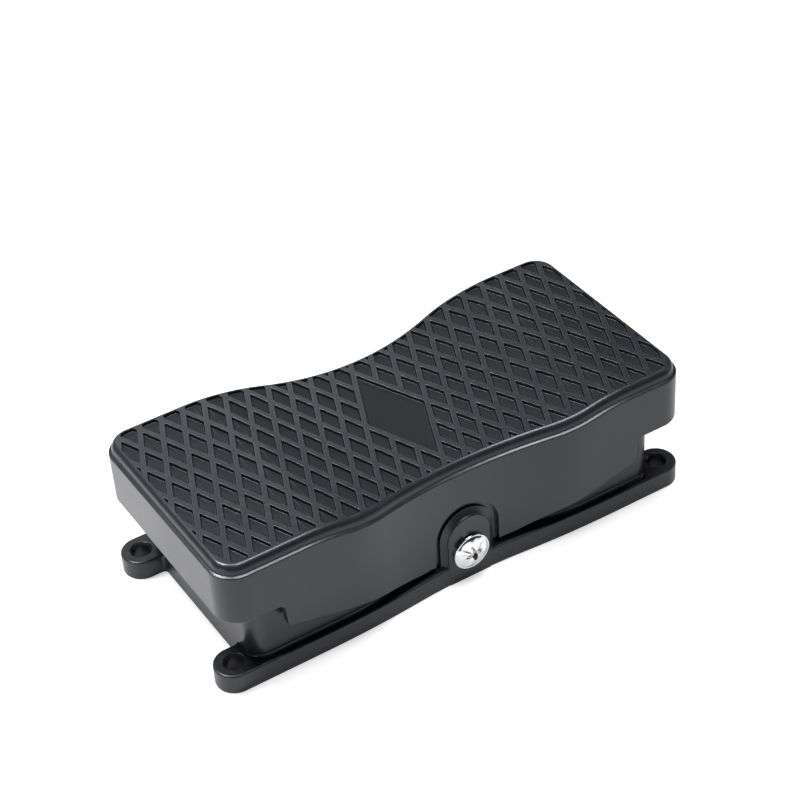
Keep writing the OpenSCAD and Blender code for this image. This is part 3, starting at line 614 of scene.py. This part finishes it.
def flangeOutline():
    # the near side, from the right end wall round the ears to the left one, then mirrored
    h = housing
    blend = (h["length"] / 2, -(h["earY"] - h["ear"]) + h["earBlend"])
    right = np.vstack((np.array([blend]),
                       arc((blend[0] + h["earBlend"], blend[1]), h["earBlend"], 180, 270, 5),
                       arc((h["earX"], -h["earY"]), h["ear"], 90, -90, 36)))
    left = (right * (-1, 1))[::-1]
    xs = np.linspace(h["earX"], -h["earX"], h["flangeStations"])[1:-1]
    half = np.vstack((right, np.column_stack((xs, -flangeHalf(xs))), left))[::-1]
    return np.vstack((half, half[::-1] * (1, -1)))


def buildFlange():
    h, outline = housing, flangeOutline()
    levels = [(0.35, 0), (0.1, 0.1), (0, 0.35)]
    levels += [(i, h["flange"] - d) for i, d in roundOver(h["flangeRound"], h["flangeRound"], 6)]
    return loft("flange", [atHeight(grow(outline, -inset), z) for inset, z in levels], strips=False)


def buildLug(side):
    front, back, r = lug["back"] + lug["thickness"], lug["back"], lug["frontRound"]
    start = back + lug["backStep"]
    levels = [(lug["flare"], back), (lug["flare"], start)]
    levels += [(lug["flare"] * (1 - u) ** lug["flareBend"], start + (front - r - start) * u)
               for u in (0.25, 0.5, 0.75, 1.0)]
    levels += [(-i, front - d) for i, d in roundOver(r, r, 5, 20, 90)]
    rings = []
    for grown, y in levels:
        flat = archOutline(grown)
        rings.append(np.column_stack((flat[:, 0], np.full(len(flat), -y), flat[:, 1])))
    piece = loft("lug", rings, strips=False)
    return turned(piece, Matrix.Diagonal((1, side, 1, 1))) if side < 0 else piece


def earCutter(x, y):
    h = housing
    r, c, top = h["earHole"], h["earChamfer"], h["flange"]
    profile = ((0, -1), (r, -1), (r, top - c - 0.08), (r + 0.04, top - c + 0.02),
               (r + c - 0.06, top - 0.08), (r + c + 0.05, top - 0.01), (r + c + 0.3, top + 0.03),
               (r + c + 0.3, top + 2), (0, top + 2))
    return moved(lathe("earHole", profile, 64), x, y)


def tube(x, y, high, outer, inner, floor, name):
    low = inside["sunk"]
    profile = ((0, low), (outer, low), (outer, high - 0.3), (outer - 0.3, high), (inner + 0.2, high),
               (inner, high - 0.2), (inner, floor), (0, floor))
    return moved(lathe(name, profile, 48), x, y)


def housingInside():
    px, i, floor, parts = shape["pivotX"], inside, housing["floor"], []
    wallY = housing["waist"] / 2 - housing["wall"]
    for side in (-1, 1):
        parts.append(tube(px + side * i["springX"], 0, i["cupTop"], i["cup"], i["cupBore"], floor,
                          "springCup"))
        low, high = sorted(px + side * x for x in i["bracketX"])
        parts.append(box((low, i["bracketY"][0], i["bracketZ"][0]),
                         (high, i["bracketY"][1], i["bracketZ"][1])))
        parts.append(tube(i["clampX"], i["inletY"] + side * i["clampY"], i["clampTop"], i["clampBoss"],
                          i["clampBore"], floor, "clampBoss"))
        parts.append(tube(px, side * i["pinY"], i["pinTop"], i["pin"], i["pinBore"], i["pinFloor"],
                          "blockPin"))
        span = sorted((side * (wallY + i["inWall"]), side * (wallY - pivot["nutBossDepth"])))
        parts.append(alongY(circle(axis, pivot["nutBoss"], 48), *span, "nutBoss"))
    return parts


def housingCuts():
    h, i, px = housing, inside, shape["pivotX"]
    cuts = [earCutter(x * h["earX"], y * h["earY"]) for x in (-1, 1) for y in (-1, 1)]
    hexagon = arc(axis, pivot["nutFlats"] / math.sqrt(3), 0, 360, 6)[:-1]
    inner = h["waist"] / 2 - h["wall"] - pivot["nutBossDepth"]
    trough = pivot["boss"] + pivot["bossGap"]
    for side in (-1, 1):
        for outline, low, high, name in (
                (circle(axis, pivot["screw"], 48), inner - 1, farOut, "screwHole"),
                (hexagon, inner - 1, inner + pivot["nutDepth"], "nutPocket"),
                (circle(axis, trough, 48), lug["back"], h["waist"] / 2, "trough")):
            cuts.append(alongY(outline, *sorted((side * low, side * high)), name))
        for hole in (-1, 1):
            centre = (px + side * (i["switchX"] + hole * i["switchHoleX"]),
                      i["switchZ"] + hole * i["switchHoleZ"])
            cuts.append(alongY(circle(centre, i["switchHole"], 32), *i["switchHoleY"], "switchHole"))
    low, high = i["inletX"]
    inlet = lathe("inletHole", ((0, low), (i["inlet"], low), (i["inlet"], high), (0, high)), 48)
    return cuts + [laidAlongX(inlet, i["inletY"], i["inletZ"])]


base = buildWalls()
combine(base, [buildFlange(), buildLug(1), buildLug(-1)] + housingInside(), "UNION")
combine(base, housingCuts(), "DIFFERENCE")
softenNormals(base)
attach(base, "base")
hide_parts("base_housing")
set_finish(base, "housing_plastic")
print("housing:", len(base.data.polygons), "faces")

# pivot screws; wings are (share of the reach, share of half the wing), waves (count, shift, strength)
screw = dict(head=5.25, ring=4.95, edge=1.0, height=2.2, front=28.413, shank=2.4, end=14.8, wing=1.75,
             reach=3.2, recess=1.6, wingTop=((0, 1.2), (0.8, 0.62), (1, 0.3)),
             wingLow=((0, 0.7), (0.5, 0.36), (0.58, 0.2)), wingOver=0.35, hub=0.75, hubTop=1.25,
             hubDeeper=0.35, hubOver=0.4, ripple=0.11,
             waves=((4, 1.1, 1.0), (7, 0.4, 0.6), (11, 2.0, 0.35)), threadPitch=0.8, threadDepth=0.32,
             tipLess=0.4, turn=14)


def wingOutline(shares, z):
    r, w = screw["reach"], screw["wing"] / 2
    near = [(r * x, -w * y, z) for x, y in shares]
    return np.array(near + [(r * x, w * y, z) for x, y in shares[::-1]])


def recessCutter():
    # a cross whose four wings narrow and rise towards the rim
    s, wings = screw, []
    low, top = s["height"] - s["recess"], s["height"]
    for turn in range(4):
        rings = [wingOutline(s["wingLow"], low), wingOutline(s["wingTop"], top + s["wingOver"])]
        wing = loft("wing", rings, strips=False)
        wings.append(turned(wing, Matrix.Rotation(math.radians(90 * turn + s["turn"]), 4, "Z")))
    hub = ((0, low - s["hubDeeper"]), (s["hub"], low), (s["hubTop"], top + s["hubOver"]),
           (0, top + s["hubOver"]))
    return wings + [lathe("hub", hub, 32)]


def flutes(r, z, turn):
    # the pressed dome isn't quite round, so its reflections break up into a star
    u = min(1.0, r / screw["ring"])
    swell = 4 * u * (1 - u) if z > screw["edge"] + 0.03 else 0.0
    star = sum(share * np.cos(n * turn + shift) for n, shift, share in screw["waves"])
    return screw["ripple"] * swell * star


def screwProfile():
    s = screw
    ring, edge, head, shank = s["ring"], s["edge"], s["head"], s["shank"]
    rise, length = s["height"] - edge, s["front"] - s["end"]
    dome = [(head, edge - 0.22), (head - 0.04, edge - 0.08), (head - 0.13, edge), (ring, edge + 0.02),
            (ring - 0.1, edge - 0.02), (ring - 0.2, edge + 0.04)]
    dome += [(ring * u, edge + rise * (1 - u ** 2) ** 0.85) for u in np.linspace(0.93, 0.06, 14)]
    thread, y, root = [], -0.1, shank - s["threadDepth"]
    while y > -length + 0.6:
        thread += [(shank, y), (shank, y - 0.25), (root, y - 0.45), (root, y - 0.55)]
        y -= s["threadPitch"]
    profile = [(0, s["height"])] + dome[::-1] + [(head - 0.02, 0.55), (head - 0.1, 0.12), (head - 0.3, 0.0)]
    profile += [(shank, 0.0)] + thread + [(shank - s["tipLess"], -length), (0, -length)]
    return profile[::-1]


def buildScrew(name, side):
    piece = lathe(name, screwProfile(), 120, flutes)
    combine(piece, recessCutter(), "DIFFERENCE")
    tilt = Matrix.Rotation(math.radians(90 if side > 0 else -90), 4, "X")
    place = Matrix.Translation(Vector((shape["pivotX"], -side * screw["front"], shape["pivotZ"])) * mm)
    turned(piece, place @ tilt)
    softenNormals(piece, 34)
    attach(piece, "base")
    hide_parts("pivot_screw_front" if side > 0 else "pivot_screw_rear")
    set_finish(piece, "bright_screw")
    return piece


screws = [buildScrew("pivotScrewFront", 1), buildScrew("pivotScrewRear", -1)]
print("pivot screws done")

# cable grommet: inner and outer are the faces of the end wall that it grips
grommet = dict(bore=2.7, neck=3.98, flange=5.3, lip=1.4, lipRound=0.9, y=-14.1, z=8.0, inner=58.6,
               outer=61.0)


def buildGrommet():
    g = grommet
    bore, neck, flange, lip, a, b = (g[k] for k in ("bore", "neck", "flange", "lip", "inner", "outer"))
    profile = [(bore, a - lip + 0.3), (bore + 0.3, a - lip), (flange - 0.5, a - lip),
               (flange - 0.1, a - lip + 0.25), (flange, a - 0.4), (flange - 0.1, a - 0.05), (neck + 0.2, a),
               (neck, a + 0.2), (neck, b - 0.2), (neck + 0.2, b), (flange - 0.15, b), (flange, b + 0.25)]
    profile += [(flange - g["lipRound"] * (1 - math.cos(t)), b + 0.5 + g["lipRound"] * math.sin(t))
                for t in np.radians((0, 30, 60, 90))]
    profile += [(bore + 0.45, b + lip), (bore + 0.12, b + lip - 0.13), (bore, b + lip - 0.45)]
    piece = lathe("cableGrommet", profile, 72)
    laidAlongX(piece, g["y"], g["z"])
    softenNormals(piece, 50)
    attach(piece, "base")
    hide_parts("cable_grommet")
    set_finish(piece, "grommet_rubber")
    return piece


seal = buildGrommet()

# return springs
spring = dict(radius=4.5, wire=0.55, curls=9, low=2.4, high=31.76, away=14.0, stepsPerCurl=28, sides=12)


def buildSpring(name, side, node):
    s = spring
    count = s["curls"] * s["stepsPerCurl"]
    a = np.linspace(0, 2 * math.pi * s["curls"], count + 1)
    z = np.linspace(s["low"] + 2 * s["wire"], s["high"] - 2 * s["wire"], count + 1)
    path = np.column_stack((s["radius"] * np.cos(a), s["radius"] * np.sin(a), z))
    path = np.vstack(([[s["radius"], 0, s["low"]]], path, [[s["radius"], 0, s["high"]]]))
    along = np.gradient(path, axis=0)
    along[0] = along[-1] = (0, 0, 1)
    along /= np.linalg.norm(along, axis=1)[:, None]
    out = path * (1, 1, 0)
    out /= np.linalg.norm(out, axis=1)[:, None]
    out -= along * (out * along).sum(1)[:, None]
    out /= np.linalg.norm(out, axis=1)[:, None]
    other = np.cross(along, out)
    turn = np.linspace(0, 2 * math.pi, s["sides"], endpoint=False)
    rings = [p + s["wire"] * (np.outer(np.cos(turn), o) + np.outer(np.sin(turn), b))
             for p, o, b in zip(path, out, other)]
    x = shape["pivotX"] + side * s["away"]
    piece = loft(name, [r + (x, 0, 0) for r in rings], strips=False)
    piece.data.shade_smooth()
    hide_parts(node)
    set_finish(piece, "spring_steel")
    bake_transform(piece)
    return piece


springs = [buildSpring("returnSpringLeft", -1, "return_spring_left"),
           buildSpring("returnSpringRight", 1, "return_spring_right")]
print("springs done")


# tools that make materials
def newGroup(name, inputs, outputs):
    group = bpy.data.node_groups.new(name, "ShaderNodeTree")
    for label, value in inputs.items():
        socket = group.interface.new_socket(name=label, in_out="INPUT", socket_type="NodeSocketFloat")
        socket.default_value = value
    for label in outputs:
        group.interface.new_socket(name=label, in_out="OUTPUT", socket_type="NodeSocketFloat")
    return group, group.nodes.new("NodeGroupInput"), group.nodes.new("NodeGroupOutput")


def node(tree, kind, **values):
    made = tree.nodes.new(kind)
    for key, value in values.items():
        setattr(made, key, value)
    return made


def feed(tree, value, socket):
    # links an output to the socket, or sets the socket to a plain value
    if isinstance(value, bpy.types.NodeSocket):
        tree.links.new(value, socket)
    else:
        socket.default_value = value


def maths(tree, operation, *values, clamp=False):
    made = node(tree, "ShaderNodeMath", operation=operation, use_clamp=clamp)
    for socket, value in zip(made.inputs, values):
        feed(tree, value, socket)
    return made.outputs[0]


def mixColour(tree, factor, a, b):
    made = node(tree, "ShaderNodeMix", data_type="RGBA")
    for socket, value in ((made.inputs["Factor"], factor), (made.inputs[6], a), (made.inputs[7], b)):
        feed(tree, value, socket)
    return made.outputs[2]


def noise(tree, place, scale, detail=2.0, roughness=0.5):
    made = node(tree, "ShaderNodeTexNoise")
    for label, value in (("Scale", scale), ("Detail", detail), ("Roughness", roughness)):
        feed(tree, value, made.inputs[label])
    if place:
        tree.links.new(place, made.inputs["Vector"])
    return made.outputs[0]


def mapped(tree, value, start, end, low=0.0, high=1.0, **values):
    made = node(tree, "ShaderNodeMapRange", **values)
    for label, number in (("From Min", start), ("From Max", end), ("To Min", low), ("To Max", high)):
        made.inputs[label].default_value = number
    tree.links.new(value, made.inputs["Value"])
    return made.outputs[0]


def grainGroup():
    # the etched skin of a moulding: fine pits on a faint slow waviness
    g, start, end = newGroup("mouldedGrain", {"Scale": 2600.0, "Wave": 0.35}, ("Height", "Cloud"))
    place = node(g, "ShaderNodeTexCoord").outputs["Object"]
    fine = noise(g, place, start.outputs["Scale"], 3.0)
    slow = noise(g, place, 55.0, 4.0)
    wave = maths(g, "MULTIPLY", slow, start.outputs["Wave"])
    g.links.new(maths(g, "ADD", fine, wave), end.inputs["Height"])
    g.links.new(slow, end.inputs["Cloud"])
    return g


def edgeGroup():
    # how far the rounded normal leans away from the flat one: 1 on rounded edges, which are painted
    # lighter, partly as wear and partly as painted highlight; Radius is in metres
    g, start, end = newGroup("edgeWearAndHighlight", {"Radius": 0.0004, "Sharpness": 9.0}, ("Mask",))
    bevel = node(g, "ShaderNodeBevel", samples=4)
    g.links.new(start.outputs["Radius"], bevel.inputs["Radius"])
    dot = node(g, "ShaderNodeVectorMath", operation="DOT_PRODUCT")
    g.links.new(bevel.outputs[0], dot.inputs[0])
    g.links.new(node(g, "ShaderNodeNewGeometry").outputs["Normal"], dot.inputs[1])
    lean = maths(g, "SUBTRACT", 1.0, dot.outputs["Value"])
    g.links.new(maths(g, "MULTIPLY", lean, start.outputs["Sharpness"], clamp=True), end.inputs["Mask"])
    return g


def dustGroup():
    # pale dust that settles on faces that look up
    g, start, end = newGroup("settledDust", {"Scale": 420.0, "Amount": 0.3}, ("Mask",))
    specks = noise(g, node(g, "ShaderNodeTexCoord").outputs["Object"], start.outputs["Scale"], 8.0, 0.7)
    split = node(g, "ShaderNodeSeparateXYZ")
    g.links.new(node(g, "ShaderNodeNewGeometry").outputs["Normal"], split.inputs[0])
    facing = maths(g, "MULTIPLY", split.outputs[2], start.outputs["Amount"], clamp=True)
    sparse = mapped(g, specks, 0.5, 0.78)
    g.links.new(maths(g, "MULTIPLY", facing, sparse, clamp=True), end.inputs["Mask"])
    return g


mouldedGrain, edgeWearAndHighlight, settledDust = grainGroup(), edgeGroup(), dustGroup()
coolShine = (0.905, 0.92, 1.0, 1)  # tint of every finish's reflections
dustColour = (0.16, 0.16, 0.16, 1)


def placed(tree, group, **values):
    made = node(tree, "ShaderNodeGroup", node_tree=group)
    for key, value in values.items():
        made.inputs[key].default_value = value
    return made


def newMaterial(name, roughness, metallic=0.0):
    material = bpy.data.materials.new(name)
    material.use_nodes = True
    tree = material.node_tree
    skin = tree.nodes["Principled BSDF"]
    skin.inputs["Roughness"].default_value = roughness
    skin.inputs["Metallic"].default_value = metallic
    skin.inputs["Specular Tint"].default_value = coolShine
    return material, tree, skin


def bumped(tree, skin, height, distance):
    bump = node(tree, "ShaderNodeBump")
    bump.inputs["Distance"].default_value = distance
    bump.inputs["Strength"].default_value = 1.0
    tree.links.new(height, bump.inputs["Height"])
    tree.links.new(bump.outputs[0], skin.inputs["Normal"])


def mouldedPlastic(name, dark, light, roughness, grain=2600.0, depth=0.00002, edge=0.35, dust=0.25,
                   shine=0.5):
    # depth is in metres; edge is how strongly rounded edges are painted lighter, partly as wear and partly
    # as painted highlight
    material, tree, skin = newMaterial(name, roughness)
    skin.inputs["Specular IOR Level"].default_value = shine
    skinGrain = placed(tree, mouldedGrain, Scale=grain)
    edges = placed(tree, edgeWearAndHighlight)
    specks = placed(tree, settledDust, Amount=dust)
    cloud, dusted = skinGrain.outputs["Cloud"], specks.outputs[0]
    # rounded edges are painted lighter: partly wear, partly a painted highlight along convex edges
    edgeWearAndHighlightColour = tuple(min(1.0, 5.0 * c) for c in light[:3]) + (1,)
    body = mixColour(tree, cloud, dark, light)
    wornAndHighlighted = mixColour(tree, maths(tree, "MULTIPLY", edges.outputs[0], edge), body, edgeWearAndHighlightColour)
    tree.links.new(mixColour(tree, dusted, wornAndHighlighted, dustColour), skin.inputs["Base Color"])
    spread = mapped(tree, cloud, 0.0, 1.0, roughness - 0.05, roughness + 0.08)
    rough = maths(tree, "ADD", spread, maths(tree, "MULTIPLY", dusted, 0.3), clamp=True)
    tree.links.new(rough, skin.inputs["Roughness"])
    bumped(tree, skin, skinGrain.outputs["Height"], depth)
    return material


def turnedMetal(name, colour, tint, roughness, around="Y", centre=(0, 0, 0)):
    # fine lines that run round the axis of the turned part, with faint stains
    material, tree, skin = newMaterial(name, roughness, 1.0)
    place = node(tree, "ShaderNodeTexCoord").outputs["Object"]
    move = node(tree, "ShaderNodeMapping")
    move.inputs["Location"].default_value = tuple(-c * mm for c in centre)
    tree.links.new(place, move.inputs["Vector"])
    split = node(tree, "ShaderNodeSeparateXYZ")
    tree.links.new(move.outputs[0], split.inputs[0])
    pair = {"X": (1, 2), "Y": (0, 2), "Z": (0, 1)}[around]
    squares = [maths(tree, "POWER", split.outputs[k], 2.0) for k in pair]
    joinUp = node(tree, "ShaderNodeCombineXYZ")
    tree.links.new(maths(tree, "SQRT", maths(tree, "ADD", *squares)), joinUp.inputs[0])
    lines = noise(tree, joinUp.outputs[0], 5200.0, 2.0)
    stains = noise(tree, place, 620.0, 5.0)
    tree.links.new(mixColour(tree, stains, colour, tint), skin.inputs["Base Color"])
    spread = mapped(tree, stains, 0.0, 1.0, roughness * 0.7, roughness * 1.5)
    tree.links.new(spread, skin.inputs["Roughness"])
    bumped(tree, skin, lines, 0.000004)
    return material


pivotCentre = (shape["pivotX"], 0, shape["pivotZ"])
finishes = dict(
    # the housing's rounded edges are painted lighter at edge 0.6: wear and painted highlight
    housing_plastic=mouldedPlastic("housingPlastic", (0.011, 0.012, 0.0145, 1), (0.0155, 0.017, 0.0205, 1),
                                   0.30, edge=0.6, dust=0.10),
    bright_screw=turnedMetal("brightScrew", (0.86, 0.86, 0.87, 1), (0.72, 0.72, 0.74, 1), 0.16,
                             centre=pivotCentre),
    plated_steel=turnedMetal("platedSteel", (0.60, 0.60, 0.62, 1), (0.48, 0.48, 0.47, 1), 0.32),
    spring_steel=turnedMetal("springSteel", (0.50, 0.51, 0.54, 1), (0.36, 0.37, 0.40, 1), 0.28, "Z"),
    switch_plastic=mouldedPlastic("switchPlastic", (0.012, 0.012, 0.013, 1), (0.02, 0.02, 0.021, 1), 0.34,
                                  grain=3400.0),
    plunger_plastic=mouldedPlastic("plungerPlastic", (0.36, 0.03, 0.02, 1), (0.46, 0.05, 0.03, 1), 0.25,
                                   grain=1500.0, depth=0.000005),
    brass_contact=turnedMetal("brassContact", (0.78, 0.56, 0.24, 1), (0.55, 0.38, 0.16, 1), 0.30),
    block_plastic=mouldedPlastic("blockPlastic", (0.62, 0.60, 0.54, 1), (0.72, 0.70, 0.64, 1), 0.45,
                                 grain=1800.0),
    grommet_rubber=mouldedPlastic("grommetRubber", (0.012, 0.012, 0.012, 1), (0.022, 0.022, 0.022, 1), 0.62,
                                  grain=2000.0),
    clamp_plastic=mouldedPlastic("clampPlastic", (0.03, 0.03, 0.033, 1), (0.045, 0.045, 0.048, 1), 0.45,
                                 grain=2200.0),
)


def dress(piece, material):
    piece.data.materials.clear()
    piece.data.materials.append(material)


for entry in frame["record"]["subparts"]:
    dress(frame["nodes"][entry["node"]], finishes[entry["material_slot"]])
for piece in [cover, base, seal] + screws + springs:
    dress(piece, finishes[piece["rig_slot"]])

# pocket floors, the badge floor and pocket walls are coloured darker than the ribs: painted shade in the
# recesses; the floors' coarser grain and duller shine are their own etched finish
pocketShadeColours = (0.0045, 0.0049, 0.0058, 1), (0.0075, 0.0082, 0.0098, 1)
for made in (mouldedPlastic("pocketFloor", *pocketShadeColours, 0.62, 1500.0, 0.00008, 0.1, 0.03, shine=0.24),
             mouldedPlastic("badgeFloorShade", *pocketShadeColours, 0.50, 3000.0, 0.00001, 0.1, 0.02, shine=0.24),
             mouldedPlastic("pocketWallShade", *pocketShadeColours, 0.34, edge=0.0, dust=0.0)):
    cover.data.materials.append(made)
cover.data.polygons.foreach_set("material_index", floorKinds)
print("materials done")

# floor, world and lamps: sizes and places are in metres here, and powers in watts
studio = dict(floor=3.0, floorColour=0.72, floorVaries=0.01, floorSeen=0.55, floorFar=1.02, fadeFrom=0.15,
              fadeTo=1.1, floorMirrored=0.20, worldLight=0.03, aim=(0, 0, 0.02))
lamps = dict(topLamp=dict(place=(0.15, -0.05, 1.2), size=(0.5, 0.4), power=13.0),
             floorLamp=dict(place=(-0.16, 0.10, 0.35), size=(0.12, 0.12), power=1.9, aim=(-0.16, 0.101, 0)),
             endLamp=dict(place=(-1.3, -0.3, 0.12), size=(0.5, 0.2), power=1.35),
             rightLamp=dict(place=(1.2, -0.3, 0.6), size=(0.6, 0.5), power=0.9),
             rearLamp=dict(place=(0.35, 1.2, 0.7), size=(0.8, 0.4), power=2.3))


def buildFloor():
    s = studio
    size = s["floor"]
    floor = meshPiece("floor", [(-size, -size, 0), (size, -size, 0), (size, size, 0), (-size, size, 0)],
                      [(0, 1, 2, 3)], 1.0)
    material, tree, skin = newMaterial("paleFloor", 0.9)
    skin.inputs["Specular IOR Level"].default_value = 0.0
    skin.inputs["Emission Color"].default_value = (1, 1, 1, 1)
    low, high = ((s["floorColour"] + change,) * 3 + (1,)
                 for change in (-s["floorVaries"], s["floorVaries"]))
    tree.links.new(mixColour(tree, noise(tree, None, 40.0), low, high), skin.inputs["Base Color"])
    # the floor shows whiter the further it is from the object, and keeps the object's shadow
    path = node(tree, "ShaderNodeLightPath")
    away = node(tree, "ShaderNodeVectorMath", operation="LENGTH")
    tree.links.new(node(tree, "ShaderNodeTexCoord").outputs["Object"], away.inputs[0])
    fade = mapped(tree, away.outputs["Value"], s["fadeFrom"], s["fadeTo"], s["floorSeen"], s["floorFar"],
                  interpolation_type="SMOOTHSTEP")
    seen = maths(tree, "MULTIPLY", path.outputs["Is Camera Ray"], fade)
    mirrored = maths(tree, "MULTIPLY", path.outputs["Is Glossy Ray"], s["floorMirrored"])
    tree.links.new(maths(tree, "ADD", seen, mirrored), skin.inputs["Emission Strength"])
    dress(floor, material)


def buildWorld():
    world = bpy.data.worlds.new("studioWorld")
    bpy.context.scene.world = world
    world.use_nodes = True
    tree = world.node_tree
    back = tree.nodes["Background"]
    back.inputs["Color"].default_value = (1, 1, 1, 1)
    path = node(tree, "ShaderNodeLightPath")
    seen = maths(tree, "MAXIMUM", path.outputs["Is Camera Ray"], path.outputs["Is Transmission Ray"])
    rest = maths(tree, "MULTIPLY", maths(tree, "SUBTRACT", 1.0, seen), studio["worldLight"])
    tree.links.new(maths(tree, "ADD", seen, rest), back.inputs["Strength"])


def hangLamp(name, place, size, power, aim=studio["aim"]):
    data = bpy.data.lights.new(name, "AREA")
    data.shape, data.energy = "RECTANGLE", power
    data.size, data.size_y = size
    made = bpy.data.objects.new(name, data)
    made.location = place
    made.rotation_euler = (Vector(aim) - Vector(place)).to_track_quat("-Z", "Y").to_euler()
    bpy.context.scene.collection.objects.link(made)


buildFloor()
buildWorld()
for name, settings in lamps.items():
    hangLamp(name, **settings)
bpy.context.scene.view_settings.view_transform = "Standard"
print("studio done")
